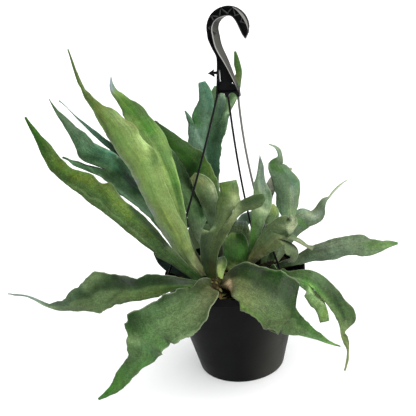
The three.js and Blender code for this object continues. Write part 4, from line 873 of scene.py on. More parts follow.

# %% [markdown]
# ## The colours of each frond
#
# left gives the foot, middle and tip of the left half as a screen shows them, and right those of
# the right half where it differs. They began as guesses. Then each was made lighter or darker,
# redder or greener, until the mean tone of its third of the half came near the picture's.
# Those tones therefore hold the light and shade on each part of a frond as well as its green.
# The strokes are painted shade and painted highlights over these tones, placed where a shade or a
# light was missing.

# %% The palette of each frond
# These glazes paint light and shade onto the fronds: NIGHT, DARK and SHADE darken, mostly as
# painted shade; LIGHT, PALE, WHITE, MIST, SUN and FROST lighten, mostly as painted highlights and
# painted light; RUST, LEAFY, SEA and LILAC shift the hue.
NIGHT, DARK, SHADE = (0.12, 0.26, 0.12), (0.38, 0.46, 0.38), (0.68, 0.73, 0.66)
LIGHT, PALE, WHITE = (1.4, 1.35, 1.35), (2.1, 1.9, 2), (4, 3.2, 4)
MIST, SUN, RUST = (1.7, 1.5, 2), (1.5, 1.3, 0.8), (1.1, 0.65, 0.45)
FROST = (2.4, 1.9, 7)
LEAFY, SEA, LILAC = (0.7, 1.05, 0.45), (0.65, 1, 1.15), (1.15, 0.9, 2.1)
LOOKS = {
    "frond_front_left": dict(
        left=[(95, 102, 68), (103, 139, 87), (89, 143, 64)],
        right=[(60, 75, 41), (87, 121, 73), (82, 142, 54)], strokes=[
        (125, 31, 125, 15, 6.9, NIGHT, 0.6), (141, 31, 144, 18, 6.9, DARK, 0.9),
        (131, 34, 138, 14, 8, DARK, 0.9), (107, 30, 63, 26, 5.5, DARK, 0.9),
        (122, 4, 59, 8, 14, LIGHT, 0.4), (21, 7, 43, -23, 8, RUST, 0.3),
        (130, 34, 144, 22, 5.5, LEAFY, 0.9), (153, 26, 149, 11, 6.9, WHITE, 0.6),
        (146, 19, 143, -12, 10, LIGHT, 0.7), (97, -30, 81, -31, 2.5, WHITE, 0.4),
        (249, 2, 156, -10, 11, LEAFY, 0.5), (37, -16, 69, -30, 4.1, DARK, 0.6),
        (136, 9, 130, -29, 10, LEAFY, 0.4), (109, 3, 81, 12, 5.5, PALE, 0.3),
        (81, -8, 54, -12, 11, LIGHT, 0.7), (240, 3, 209, 4, 4.1, SUN, 0.4)]),
    "frond_left_level": dict(
        left=[(60, 96, 31), (104, 130, 82), (127, 154, 125)],
        right=[(32, 65, 16), (69, 95, 56), (131, 158, 136)], strokes=[
        (143, 5, 105, 8, 8, DARK, 0.6), (120, 18, 100, 12, 5.5, NIGHT, 0.9),
        (177, 11, 161, -1, 5.5, DARK, 0.8), (129, 12, 96, 6, 6.9, DARK, 0.6),
        (95, 9, 27, 3, 6.9, DARK, 0.9), (159, 18, 143, 21, 8, WHITE, 0.6),
        (186, 14, 163, 11, 5.5, LIGHT, 0.4), (194, 5, 142, -21, 5.5, SHADE, 0.5),
        (136, -17, 109, 1, 2.1, NIGHT, 0.5), (293, 0, 240, -2, 5.5, MIST, 0.8),
        (118, -10, 61, -9, 5.5, SUN, 0.3), (109, 1, 53, -2, 2.1, PALE, 0.4)]),
    "frond_left_rising": dict(
        left=[(51, 83, 39), (84, 114, 58), (50, 91, 20)],
        right=[(28, 68, 11), (90, 123, 49), (71, 106, 32)], strokes=[
        (152, 10, 139, 8, 5.5, LIGHT, 0.9), (337, 2, 299, 1, 5.5, LEAFY, 0.6),
        (276, -4, 256, 3, 6.9, SUN, 0.6), (230, 4, 206, 9, 8, SUN, 0.6),
        (183, 12, 137, 2, 8, SUN, 0.7), (235, 0, 211, 6, 4.1, RUST, 0.4),
        (198, 12, 168, -6, 5.5, SHADE, 0.9), (241, -11, 79, -8, 2.1, MIST, 1),
        (142, 14, 73, 7, 4.8, NIGHT, 0.95), (95, -1, 61, -1, 5.5, SHADE, 0.6),
        (292, -4, 257, -8, 5.5, SHADE, 0.5), (247, -3, 196, -2, 5.5, SHADE, 0.6),
        (158, 5, 97, 1, 5.5, SHADE, 0.4)]),
    "frond_left_broad": dict(
        left=[(109, 142, 106), (93, 134, 91), (69, 105, 74)],
        right=[(44, 80, 52), (44, 96, 68), (88, 117, 77)], strokes=[
        (197, -3, 171, 9, 6.9, NIGHT, 0.8), (303, 16, 266, 15, 6.9, MIST, 0.5),
        (250, 14, 239, 11, 5.5, PALE, 0.8), (241, -1, 224, 9, 5.5, DARK, 0.7),
        (219, 15, 202, 4, 5.5, PALE, 0.6), (202, 17, 155, 0, 8, NIGHT, 0.95),
        (166, -15, 120, -8, 6.9, MIST, 0.7), (253, -28, 211, -19, 2.1, PALE, 0.9),
        (211, -19, 116, -11, 2.1, PALE, 0.9), (237, 28, 207, 18, 2.1, WHITE, 0.7),
        (207, 18, 173, 11, 2.1, WHITE, 0.7), (233, 21, 215, 18, 4.1, SEA, 0.6),
        (209, -10, 164, -6, 6.9, DARK, 0.5)]),
    "frond_left_narrow": dict(
        left=[(50, 84, 58), (62, 104, 80), (96, 134, 110)],
        right=[(46, 78, 54), (52, 92, 68), (84, 122, 98)], strokes=[
        (310, -1, 260, -4, 2.7, LIGHT, 0.6), (260, 4, 228, 1, 4.1, DARK, 0.5),
        (346, 0, 328, 1, 4.1, WHITE, 0.6)]),
    "frond_tall_front": dict(
        left=[(160, 192, 123), (169, 213, 107), (98, 141, 42)],
        right=[(142, 167, 107), (135, 167, 91), (113, 138, 66)], strokes=[
        (257, -13, 189, -19, 5.5, SHADE, 0.9), (119, 0, 77, 4, 6.9, DARK, 0.5),
        (277, -5, 235, -19, 4.1, NIGHT, 0.5), (242, 20, 225, 22, 4.1, SHADE, 0.9),
        (53, 6, 36, 4, 4.1, DARK, 0.7), (38, 10, 14, 2, 6.9, WHITE, 0.9),
        (199, 25, 184, 19, 5.5, DARK, 0.9), (69, 4, 41, -2, 4.1, DARK, 0.8),
        (224, 23, 202, 21, 10, PALE, 0.6), (221, 23, 205, 22, 6.9, MIST, 0.7),
        (256, 15, 243, 16, 6.9, LIGHT, 0.7), (286, 0, 267, -6, 4.8, RUST, 0.4),
        (286, 2, 271, 15, 2.7, RUST, 0.3), (247, 20, 233, 23, 3.4, RUST, 0.5),
        (365, 1, 294, -1, 6.9, DARK, 0.6), (251, -19, 214, -24, 4.1, LILAC, 0.8),
        (214, -24, 168, -20, 5.5, LILAC, 0.8), (168, -20, 123, -18, 6.2, LILAC, 0.8),
        (123, -18, 73, -14, 6.9, LILAC, 0.7), (187, 13, 133, 13, 11, LIGHT, 0.4),
        (114, 3, 57, 5, 6.9, SUN, 0.5), (59, 15, 11, 1, 6.9, LIGHT, 0.9),
        (269, 10, 240, 6, 5.5, SHADE, 0.5), (204, -15, 132, -14, 4.1, SHADE, 0.5),
        (159, 1, 91, 0, 2.7, SHADE, 0.6)]),
    "frond_tall_behind": dict(
        left=[(113, 135, 65), (165, 198, 112), (128, 153, 100)],
        right=[(127, 141, 109), (94, 138, 57), (110, 143, 77)], strokes=[
        (272, -9, 251, -1, 6.9, DARK, 0.7), (268, 10, 248, 14, 6.9, DARK, 0.7),
        (324, 0, 309, 1, 5.5, FROST, 0.6), (301, 1, 289, 6, 4.1, PALE, 0.7),
        (283, -3, 230, 5, 11, LEAFY, 0.9), (222, 15, 206, 14, 8, PALE, 0.6),
        (236, -4, 205, -4, 4.1, DARK, 0.6), (200, 10, 150, 6, 6.9, LIGHT, 0.4),
        (179, 15, 104, 8, 2.1, WHITE, 0.6), (143, 5, 106, 5, 5.5, SHADE, 0.7),
        (301, -3, 270, -10, 2.7, SHADE, 0.5)]),
    "frond_arching": dict(
        left=[(59, 88, 41), (43, 85, 17), (52, 93, 25)],
        right=[(77, 108, 55), (85, 118, 66), (54, 84, 36)], strokes=[
        (217, 1, 144, 4, 14, LEAFY, 0.8), (148, 14, 120, 14, 5.5, SUN, 0.8),
        (150, -15, 157, 9, 6.9, NIGHT, 0.6), (196, 5, 166, 10, 5.5, LEAFY, 0.5),
        (193, -10, 144, -17, 4.1, LILAC, 0.2), (151, 17, 113, 17, 2.1, PALE, 0.4)]),
    "frond_rolled": dict(
        left=[(234, 250, 222), (79, 110, 83), (130, 157, 103)], strokes=[
        (137, 8, 110, 11, 6.9, NIGHT, 0.9), (126, -11, 109, -10, 4.1, WHITE, 0.5),
        (117, 9, 91, 1, 5.5, NIGHT, 0.8), (130, -11, 122, -12, 5.5, PALE, 0.4),
        (153, 5, 136, 0, 6.9, RUST, 0.5), (137, -8, 115, -8, 5.5, PALE, 0.6),
        (133, 13, 105, 10, 4.1, SHADE, 0.7)]),
    "frond_back_lobed": dict(
        left=[(83, 118, 80), (119, 161, 131), (108, 153, 119)],
        right=[(73, 112, 74), (60, 100, 71), (105, 137, 83)], strokes=[
        (181, 5, 146, 7, 6.9, LIGHT, 0.7), (229, -29, 201, -14, 8, DARK, 0.5),
        (299, 37, 277, 37, 5.5, DARK, 0.6), (235, 16, 224, 37, 4.1, PALE, 0.9),
        (188, -22, 166, -9, 5.5, PALE, 0.5), (204, -11, 178, 5, 4.1, LIGHT, 0.5),
        (209, -31, 194, -13, 5.5, LEAFY, 0.8), (212, 17, 174, 15, 4.8, NIGHT, 0.6),
        (174, 11, 120, 10, 5.5, DARK, 0.7), (232, 16, 212, 16, 5.5, LILAC, 0.6),
        (298, 37, 277, 37, 5.5, LEAFY, 0.9), (274, 34, 263, 40, 3.4, RUST, 0.7),
        (237, 45, 215, 44, 2.7, WHITE, 1), (214, 45, 193, 28, 2.1, WHITE, 0.8),
        (253, -17, 226, -10, 6.9, SEA, 0.5), (241, -18, 211, -9, 3.4, DARK, 0.5),
        (186, -16, 162, -2, 2.1, WHITE, 0.3)]),
    "frond_centre_forked": dict(
        left=[(45, 71, 21), (91, 115, 73), (110, 148, 68)],
        right=[(52, 68, 27), (108, 129, 76), (132, 160, 106)], strokes=[
        (150, -9, 141, 7, 5.5, DARK, 0.6), (146, -9, 139, 5, 8, SUN, 0.3),
        (129, 7, 103, 28, 6.9, WHITE, 0.7), (136, 17, 157, 21, 8, NIGHT, 0.8),
        (68, -12, 36, -2, 5.5, DARK, 0.8), (36, 1, 10, 2, 5.5, RUST, 0.5),
        (75, 9, 35, 6, 12, DARK, 0.8), (75, -17, 84, -4, 2.1, WHITE, 0.7),
        (135, -12, 94, -3, 4.1, SHADE, 0.7), (80, 18, 44, 12, 2.7, PALE, 0.4)]),
    "frond_upright": dict(
        left=[(121, 177, 98), (146, 182, 120), (127, 150, 126)],
        right=[(90, 128, 73), (157, 194, 135), (132, 153, 140)], strokes=[
        (180, -2, 159, 1, 5.5, SHADE, 1), (93, -2, 84, 7, 6.9, DARK, 0.7),
        (138, 8, 132, 9, 3.4, DARK, 1), (182, -2, 127, 3, 5.5, MIST, 0.3),
        (117, -4, 113, 7, 4.1, WHITE, 0.5), (94, -9, 53, 1, 6.9, LEAFY, 0.9),
        (176, -1, 138, -2, 1.4, PALE, 0.5), (135, 4, 97, 5, 2.1, SHADE, 0.6)]),
    "frond_right_tall": dict(
        left=[(65, 79, 54), (118, 150, 112), (135, 163, 132)],
        right=[(95, 111, 77), (125, 154, 108), (117, 139, 112)], strokes=[
        (18, -5, 13, 3, 5.5, NIGHT, 1), (163, -6, 148, -1, 5.5, DARK, 0.7),
        (158, -5, 147, 3, 5.5, LEAFY, 0.9), (118, 5, 82, 5, 5.5, PALE, 0.4),
        (121, 6, 95, 9, 4.1, LILAC, 0.3), (190, 1, 166, 1, 4.1, PALE, 0.7),
        (113, -17, 82, -10, 4.1, DARK, 0.6), (142, 5, 122, 13, 6.9, SEA, 0.6),
        (145, -14, 109, -6, 5.5, SHADE, 0.4)]),
    "frond_right_curl": dict(
        left=[(92, 114, 78), (128, 149, 118), (132, 154, 116)],
        right=[(86, 100, 64), (112, 136, 107), (165, 189, 159)], strokes=[
        (80, -14, 83, -7, 5.5, SHADE, 1), (117, -6, 111, 8, 5.5, DARK, 0.7),
        (84, -10, 96, 1, 4.1, PALE, 0.8), (72, -4, 77, 13, 5.5, LEAFY, 0.9),
        (131, 0, 167, -1, 5.5, PALE, 0.8), (82, -13, 88, -14, 4.1, SEA, 0.5),
        (99, 0, 111, 2, 2.7, MIST, 0.6)]),
    "frond_right_folded": dict(
        left=[(241, 250, 167), (108, 136, 84), (105, 125, 91)],
        right=[(250, 250, 191), (132, 156, 97), (123, 133, 105)], strokes=[
        (39, -5, 53, 9, 5.5, PALE, 0.9), (125, -27, 114, -23, 3.4, WHITE, 1),
        (107, -18, 117, -16, 3.4, WHITE, 0.8), (122, 1, 141, 1, 4.1, PALE, 0.7),
        (61, 3, 100, 9, 6.9, RUST, 0.3), (83, -15, 105, -29, 6.9, SHADE, 0.4),
        (97, -10, 111, -3, 5.5, SHADE, 0.7), (101, 12, 124, 28, 8, DARK, 0.7),
        (29, -2, 75, -8, 2.7, SUN, 0.4)]),
    "frond_right_level": dict(
        left=[(42, 65, 27), (93, 114, 83), (113, 148, 91)],
        right=[(57, 78, 42), (110, 133, 105), (130, 161, 110)], strokes=[
        (55, -2, 81, -3, 6.9, DARK, 0.7), (112, -12, 132, -10, 4.1, SHADE, 1),
        (14, -3, 26, -3, 5.5, NIGHT, 1), (91, -6, 116, -6, 6.9, LIGHT, 0.7),
        (83, 2, 88, 8, 2.7, DARK, 0.6), (103, 4, 110, 8, 2.7, DARK, 0.5),
        (82, -7, 138, -8, 5.5, MIST, 0.4), (147, -1, 185, 0, 5.5, LEAFY, 0.5),
        (57, 4, 117, 14, 2.7, SHADE, 0.5), (56, -9, 70, -12, 2.1, NIGHT, 0.4)]),
    "frond_front_right": dict(
        left=[(56, 68, 37), (35, 67, 17), (102, 142, 77)],
        right=[(144, 149, 98), (89, 114, 66), (102, 145, 86)], strokes=[
        (11, -6, 30, 12, 6.9, WHITE, 1), (20, -5, 39, 16, 6.9, WHITE, 0.8),
        (45, -18, 76, -29, 5.5, NIGHT, 0.8), (106, -31, 118, -33, 5.5, DARK, 0.5),
        (116, -21, 128, -25, 5.5, DARK, 0.6), (73, 21, 82, 24, 6.9, LIGHT, 0.9),
        (48, -9, 106, -35, 8, LEAFY, 0.8), (109, -17, 127, -31, 5.5, LEAFY, 0.8),
        (57, 6, 87, 2, 10, SHADE, 0.8), (77, 19, 112, 17, 10, LIGHT, 0.25),
        (66, 30, 100, 36, 3.4, LEAFY, 0.8), (142, -9, 212, -2, 5.5, LEAFY, 0.4),
        (39, -22, 102, -39, 2.1, WHITE, 0.7), (64, 28, 101, 38, 1.4, PALE, 0.6),
        (152, 15, 214, -1, 2.1, PALE, 0.6), (85, -12, 122, 6, 8, SHADE, 0.4),
        (68, -24, 79, -22, 4.1, NIGHT, 0.4)]),
    "frond_right_hanging": dict(
        left=[(92, 126, 68), (77, 110, 59), (140, 160, 109)],
        right=[(101, 136, 103), (124, 161, 96), (145, 169, 105)], strokes=[
        (89, 7, 110, 12, 4.1, WHITE, 0.8), (159, -3, 170, -14, 5.5, PALE, 0.8),
        (130, -18, 147, -20, 8, SHADE, 0.9), (113, 19, 120, 14, 5.5, DARK, 0.6),
        (107, -19, 126, -19, 6.9, DARK, 0.7), (130, 23, 123, 14, 5.5, SUN, 0.5),
        (68, -6, 103, -14, 6.9, MIST, 0.3), (122, -12, 164, -4, 2.7, DARK, 0.7),
        (81, 4, 109, 1, 5.5, LEAFY, 0.8), (176, -9, 234, -10, 5.5, SUN, 0.4),
        (98, 18, 118, 22, 4.1, LIGHT, 0.4), (102, -8, 122, -10, 5.5, SHADE, 0.6),
        (113, -21, 142, -21, 2.1, PALE, 0.4)]),
    "frond_low_dark": dict(
        left=[(24, 46, 36), (28, 54, 44), (34, 60, 50)]),
    "shield_young": dict(
        left=[(211, 241, 154), (106, 161, 86), (118, 154, 82)],
        right=[(153, 198, 122), (113, 174, 83), (48, 92, 22)], strokes=[
        (56, -5, 37, 0, 5.5, DARK, 0.6), (63, -9, 60, -1, 4.8, LIGHT, 1.2),
        (60, 5, 50, 13, 5.5, DARK, 0.7), (27, -14, 18, 11, 4.1, DARK, 0.6),
        (48, -11, 30, -11, 2.7, SHADE, 0.6)]),
    "shield_old": dict(
        left=[(118, 138, 89), (106, 135, 91), (116, 138, 95)], strokes=[
        (73, 5, 49, 11, 5.5, DARK, 0.9), (75, -6, 73, 7, 4.1, LILAC, 0.8),
        (69, 1, 49, 13, 2.7, SHADE, 0.6)]),
    "frond_bud": dict(
        left=[(211, 250, 140), (193, 225, 138), (77, 101, 74)], strokes=[
        (37, 4, 25, 4, 3.4, NIGHT, 0.8), (32, -3, 6, 2, 5.5, PALE, 0.6)]),
    # the strap's colours are painted paler, most at its tip, as painted light where it lies in the
    # shade of the fronds in front
    "frond_strap": dict(
        left=[(170, 195, 160), (98, 136, 84), (190, 250, 170)], strokes=[
        (88, 9, 75, 9, 4.1, NIGHT, 1), (90, 4, 75, 5, 4.1, NIGHT, 0.6),
        (72, -11, 42, -5, 4.1, LIGHT, 0.5), (71, -14, 40, -6, 2.7, SHADE, 0.7)]),
    "frond_young_green": dict(
        left=[(36, 54, 23), (93, 129, 76), (149, 177, 125)], strokes=[
        (91, 0, 82, 1, 5.5, SUN, 0.9), (79, 3, 75, 8, 4.1, SHADE, 0.6)]),
    "frond_back_right": dict(
        left=[(60, 84, 56), (110, 134, 106), (210, 225, 190)], strokes=[
        (124, -8, 114, 3, 5.5, WHITE, 0.8)]),
    "frond_back_crossing": dict(
        left=[(113, 139, 104), (128, 154, 119), (122, 151, 127)], strokes=[
        (93, -5, 92, -9, 4.1, SHADE, 0.5)]),
    "frond_back_hanging": dict(
        left=[(70, 98, 56), (84, 114, 66), (88, 116, 70)]),
    "frond_back_level": dict(
        left=[(66, 98, 68), (84, 120, 90), (96, 128, 98)], strokes=[
        (83, -22, 58, 11, 8, NIGHT, 1)]),
}
SLOTS = {p["node"]: p["material_slot"] for p in frame["record"]["subparts"]}
print(len(LOOKS), "fronds have a palette of their own")

# %% [markdown]
# ## Making the fronds
#
# The fronds are made in one loop from the two tables. Each becomes a closed sheet with its own
# colours, and its place along and across the blade is kept as a UV map, so the veins follow the
# leaf wherever it bends. under is 0 on the upper face and 1 on the underside.

# %% All fronds
FIRST_SEED, NEXT_SEED = 100, 31
UV_WIDTH, UV_LENGTH = 100, 400       # millimetres of a blade that fill the map
frond_faces = 0
for number, (name, spec) in enumerate(FRONDS.items()):
    sheet, quads = frond_sheet(spec, EDGES.get(name, ()), FIRST_SEED + NEXT_SEED * number)
    points, faces = thicken(sheet, quads)
    twice = {k: np.tile(sheet[k], 2) for k in ("edge", "reach", "along")}
    tint = np.tile(frond_tint(LOOKS[name], sheet), (2, 1))
    uv = np.stack([0.5 + twice["reach"] / UV_WIDTH, twice["along"] / UV_LENGTH], axis=-1)
    soft = np.concatenate([np.full(len(f), i < 2) for i, f in enumerate(faces)])
    under = np.repeat([0.0, 1.0], len(sheet["along"]))
    blade = new_piece("blade_" + name.replace("frond_", ""), points, faces, soft,
                      {"edge": twice["edge"], "under": under}, tint, uv)
    dress(blade, SKINS[SLOTS[name]], SLOTS[name], name)
    frond_faces += sum(len(f) for f in faces)
print(len(FRONDS), "fronds,", frond_faces, "faces")

# %% [markdown]
# ## Round pieces
#
# The pot is a turned shape: one outline carried round the axis. A Screw or Spin would do, but
# the outline times a circle is one line of numpy. Its corners get small arcs first, because
# moulded plastic has no knife edges and the arcs are what catches the light.

# %% Rounded outlines
def rounded(outline, radii, steps=5):
    """An outline of [r, z] points whose corners are cut by arcs: a corner moves from its place
    less the radius along one side to the same along the other on a smooth quadratic."""
    made = []
    for i, (corner, radius) in enumerate(zip(outline, radii)):
        corner = np.array(corner, dtype=float)
        if radius == 0 or i in (0, len(outline) - 1):
            made.append(corner[None])
            continue
        start, end = (corner + radius * unit(np.array(outline[k], dtype=float) - corner)
                      for k in (i - 1, i + 1))
        s = np.linspace(0, 1, steps + 1)[:, None]
        made.append((1 - s) ** 2 * start + 2 * s * (1 - s) * corner + s ** 2 * end)
    return np.concatenate(made)


def turned(outline, segments):
    """The outline carried round the Z axis. Its first and last points lie on the axis and
    become the two poles."""
    inner = outline[1:-1]
    angle = np.linspace(0, 2 * math.pi, segments, endpoint=False)
    ring = around(angle)
    heights = np.broadcast_to(inner[:, None, 1:], (len(inner), segments, 1))
    points = np.concatenate([inner[:, None, :1] * ring[None], heights], axis=-1)
    ids = np.arange(len(inner) * segments).reshape(len(inner), segments)
    follow = np.roll(ids, -1, axis=1)
    first, last = ids.size, ids.size + 1
    bottom = np.stack([np.full(segments, first), follow[0], ids[0]], axis=-1)
    top = np.stack([np.full(segments, last), ids[-1], follow[-1]], axis=-1)
    poles = np.array([[0, 0, outline[0, 1]], [0, 0, outline[-1, 1]]])
    return np.concatenate([points.reshape(-1, 3), poles]), [ring_faces(ids), bottom, top]


corner = rounded([[0, 0], [10, 0], [10, 10]], [0, 2, 0])
print("a rounded corner has", len(corner) - 2, "points")

# %% [markdown]
# ## The pot
#
# An eight inch nursery pot: a tapered black wall under two millimetres thick, a stiff band at the
# rim and six drain holes in a flat bottom. The holes are cut with a Boolean modifier that is
# applied at once, as a drill would be used on a turned pot.

# %% The pot's shape
RIM_RADIUS, POT_HEIGHT, FOOT_RADIUS, WALL, POT_SEGMENTS = 100, 150, 61.7, 1.8, 192
BAND_FOOT, BAND_STEP, FLOOR = 138, 1.6, 2.4
DRAIN_RADIUS, DRAIN_RING, DRAINS, DRAIN_SEGMENTS = 5, 40, 6, 24


def wall_radius(z):
    """Outside of the pot's wall at height z."""
    return FOOT_RADIUS + (RIM_RADIUS - BAND_STEP - FOOT_RADIUS) * z / POT_HEIGHT


pot_outline = rounded(
    [[0, 0], [FOOT_RADIUS, 0], [wall_radius(BAND_FOOT), BAND_FOOT], [RIM_RADIUS, BAND_FOOT + 1],
     [RIM_RADIUS, POT_HEIGHT], [RIM_RADIUS - WALL - 0.6, POT_HEIGHT],
     [wall_radius(BAND_FOOT) - WALL, BAND_FOOT - 1], [wall_radius(FLOOR) - WALL, FLOOR],
     [0, FLOOR]],
    [0, 2.5, 0.5, 0.5, 0.9, 0.7, 2, 2, 0])
points, faces = turned(pot_outline, POT_SEGMENTS)
pot = new_piece("turned_pot", points, faces)
drill_points, drill_faces = turned(
    np.array([[0, -2], [DRAIN_RADIUS, -2], [DRAIN_RADIUS, 6], [0, 6]], dtype=float),
    DRAIN_SEGMENTS)
angle = 2 * math.pi * np.arange(DRAINS) / DRAINS
ring = np.pad(around(angle) * DRAIN_RING, ((0, 0), (0, 1)))
drills = new_piece("drills", (drill_points[None] + ring[:, None]).reshape(-1, 3),
                   [f + i * len(drill_points) for i in range(DRAINS) for f in drill_faces])
drill = pot.modifiers.new("drain holes", "BOOLEAN")
drill.operation, drill.object, drill.solver = "DIFFERENCE", drills, "EXACT"
seen = pot.evaluated_get(bpy.context.evaluated_depsgraph_get())
drilled = bpy.data.meshes.new_from_object(seen)
pot.modifiers.clear()
pot.data = drilled
bpy.data.objects.remove(drills)
pot.data.set_sharp_from_angle(angle=math.radians(50))
print("pot:", len(pot.data.polygons), "faces")

# %% [markdown]
# Injection moulded polypropylene is satin: soft wide highlights, faint turning marks, and the
# pale scuffs that a pot collects on its way through a nursery. The pot's black is worked out a
# point at a time: greyer towards the foot, and greyer on the right as painted light on the side
# that faces the key lamp. The rim's band is painted darker, as shade under the fronds.

# %% Pot finish
def black_plastic(name, colour, roughness, scuffs, marks, shine):
    """scuffs and marks say how strong the wear and the turning marks are. With no colour, the
    piece's own tint is used."""
    material, tree, shader = new_finish(name, Specular_IOR_Level=shine)
    place = object_place(tree)
    clouds = noise(tree, place, 26, 4, 0.6)
    fine = noise(tree, place, 700, 2)
    rings = streaks(tree, place, (16, 16, 420), 2)
    scratch = span(tree, streaks(tree, place, (900, 60, 60)), 0.64, 0.74)
    wear_and_painted_light = maths(tree, "MULTIPLY", scratch, span(tree, clouds, 0.5, 0.65, 0, scuffs))
    base = (mixed(tree, span(tree, clouds, 0.35, 0.7, 0, 0.55), rgb(*colour), rgb(*colour) * 1.6)
            if colour else stored(tree, "tint", "Color"))
    base = mixed(tree, wear_and_painted_light, base, rgb(92, 92, 88))
    height = maths(tree, "ADD", maths(tree, "MULTIPLY", rings, marks),
                   maths(tree, "MULTIPLY", fine, 0.3))
    wire(tree, shader, base, uneven(tree, roughness, clouds, 0.07, wear_and_painted_light, 0.2), height, 0.0002)
    return material


x, y, z = places_of(pot.data).T
# greyer on the right as painted light from the key lamp, and greyer towards the foot
lit_side_and_foot_grey = smoothstep((x / np.hypot(x, y).clip(1) + 0.1) / 1.1) * (1.25 - z / POT_HEIGHT) * (y < 30)
POT_BLACK, SIDE_AND_FOOT_GREY = rgb(3, 4, 4.5), rgb(50, 50, 45)
grey = POT_BLACK + (SIDE_AND_FOOT_GREY - POT_BLACK) * lit_side_and_foot_grey[:, None]
# the band under the rim is painted darker, as shade under the fronds
lay_tint(pot.data, np.where(z[:, None] > BAND_FOOT - 2, grey * 0.35, grey))
pot_skin = black_plastic("satin black pot", None, 0.5, 0.3, 0.5, 0.08)
dress(pot, pot_skin, "pot_plastic", "pot")
print("the grey on the right and at the foot covers up to", round(float(lit_side_and_foot_grey.max()), 2), "of the pot's black")

# %% [markdown]
# ## The growing medium
#
# Ferns like this grow in coarse bark and moss. Seen from above it is a rough brown and straw
# coloured surface a finger's width below the rim. The body is a height field on a round grid;
# the loose bits on top are small bent chips, each only a few faces, scattered by a seeded draw.

# %% The bed
LEVEL, FIT = 139, 0.35     # the bed's height, and the free space round a fitted piece
BED_SEGMENTS = 160


def bed_height(x, y):
    """Height of the bed: slow waves, lumps the size of a bark piece and crumbs."""
    height = LEVEL + 2.2 * np.sin(x * 0.21) * np.cos(y * 0.17 + 1)
    lumps = np.sin(x * 0.61 + 2 * np.sin(y * 0.31)) * np.sin(y * 0.55 + 2 * np.sin(x * 0.27))
    crumbs = np.sin(x * 1.7 + y * 0.6) * np.sin(y * 1.9 - x * 0.4)
    return height + 1.1 * lumps + 0.5 * crumbs


def inner_wall(z):
    """Inside of the pot's wall at height z, less the free space."""
    return wall_radius(z) - WALL - FIT


radius = np.linspace(0, 1, 46)[1:-1] * (inner_wall(LEVEL) - 2)
bed_outline = np.concatenate([
    [[0, FLOOR + FIT], [inner_wall(FLOOR + FIT), FLOOR + FIT],
     [inner_wall(LEVEL - 4), LEVEL - 4], [inner_wall(LEVEL) - 2, LEVEL - 0.5]],
    np.stack([radius[::-1], np.full(len(radius), float(LEVEL))], axis=-1), [[0, LEVEL]]])
points, faces = turned(bed_outline, BED_SEGMENTS)
upper = points[:, 2] > LEVEL - 0.2
points[upper, 2] = bed_height(points[upper, 0], points[upper, 1])
bed = new_piece("bark_bed", points, faces)
print("the bed rises and falls by", round(float(np.ptp(points[upper, 2])), 1), "mm")

# %% [markdown]
# A chip is a bent flake: a small grid whose outline is narrower at its ends, closed by a copy of
# itself just below. All chips are worked out at once, as one array with a chip per row.

# %% Loose bark
FLAKE_POINTS = 24        # 4 x 3 points above and as many below


def closed_flakes(grids):
    """Points and quads of flakes given as (flakes, 2, 4, 3, 3): for each an upper and a lower
    grid, which are closed by walls round their rims."""
    ids = np.arange(FLAKE_POINTS).reshape(2, 4, 3)
    ring = np.concatenate([ids[0, 0, :], ids[0, 1:, -1], ids[0, -1, -2::-1], ids[0, -2:0:-1, 0]])
    follow, half = np.roll(ring, -1), FLAKE_POINTS // 2
    walls = np.stack([follow, ring, ring + half, follow + half], axis=-1)
    one = np.concatenate([grid_faces(ids[0])[:, ::-1], grid_faces(ids[1]), walls])
    faces = one[None] + FLAKE_POINTS * np.arange(len(grids))[:, None, None]
    return grids.reshape(-1, 3), [faces.reshape(-1, 4)]


def flakes(draw, places, length, wide, thick, bend):
    """Closed flakes around the places, turned and tilted at random: x runs along a flake, y
    across, and z sags with the square of x."""
    n = len(places)
    x, y = np.meshgrid(np.linspace(-1, 1, 4), np.linspace(-1, 1, 3), indexing="ij")
    taper = np.sqrt(1 - 0.75 * x ** 2)
    long, broad, deep, sag = (draw.uniform(*r, (n, 1, 1)) for r in (length, wide, thick, bend))
    ragged = 1 + draw.uniform(-0.3, 0.3, (n, 4, 3))
    local = np.stack([x * long / 2 * ragged, y * taper * broad / 2 * ragged,
                      -sag * x ** 2 + 0 * y], axis=-1)
    rise = [0, 0, 0.5] * deep[..., None]
    local = np.stack([local + rise, local - rise], axis=1)
    spin, tilt = draw.uniform(0, 2 * math.pi, n), draw.uniform(-0.7, 0.7, n)
    c, s, ct, st = np.cos(spin), np.sin(spin), np.cos(tilt), np.sin(tilt)
    turn = np.stack([np.stack([c * ct, -s, c * st], -1), np.stack([s * ct, c, s * st], -1),
                     np.stack([-st, 0 * s, ct], -1)], axis=-2)
    return closed_flakes(np.einsum("nij,nfabj->nfabi", turn, local)
                         + places[:, None, None, None])


BARK = [rgb(*c) for c in ((134, 122, 68), (100, 88, 50), (178, 170, 112), (66, 58, 34),
                          (138, 136, 80), (40, 38, 24))]


def painted_bark_light(x, y):
    """How bright the bark is painted at a place: dark as painted shade under the fronds on the
    right, and twice as bright at the front rim, as painted light.
    """
    shaded = smoothstep((x - 5) / 20) * smoothstep((90 - y) / 30)
    return (1 - 0.93 * shaded + (y < -68)) * LIGHT_SHARE


CHIPS = 420
draw = np.random.default_rng(7)
distance = np.sqrt(draw.uniform(0, 1, CHIPS)) * (inner_wall(LEVEL) - 9)
angle = draw.uniform(0, 2 * math.pi, CHIPS)
x, y = distance * np.cos(angle), distance * np.sin(angle)
places = np.stack([x, y, bed_height(x, y) + draw.uniform(0.2, 2.2, CHIPS)], axis=-1)
points, faces = flakes(draw, places, (6, 15), (3, 7), (0.8, 1.8), (0, 1.2))
chip_tint = np.array(BARK)[draw.integers(0, len(BARK), CHIPS)] * painted_bark_light(x, y)[:, None]
chip_tint = np.repeat(chip_tint, FLAKE_POINTS, axis=0)
bark = new_piece("bark_chips", points, faces, False, tint=chip_tint)
print("bed:", len(bed.data.polygons), "faces; chips:", len(bark.data.polygons))
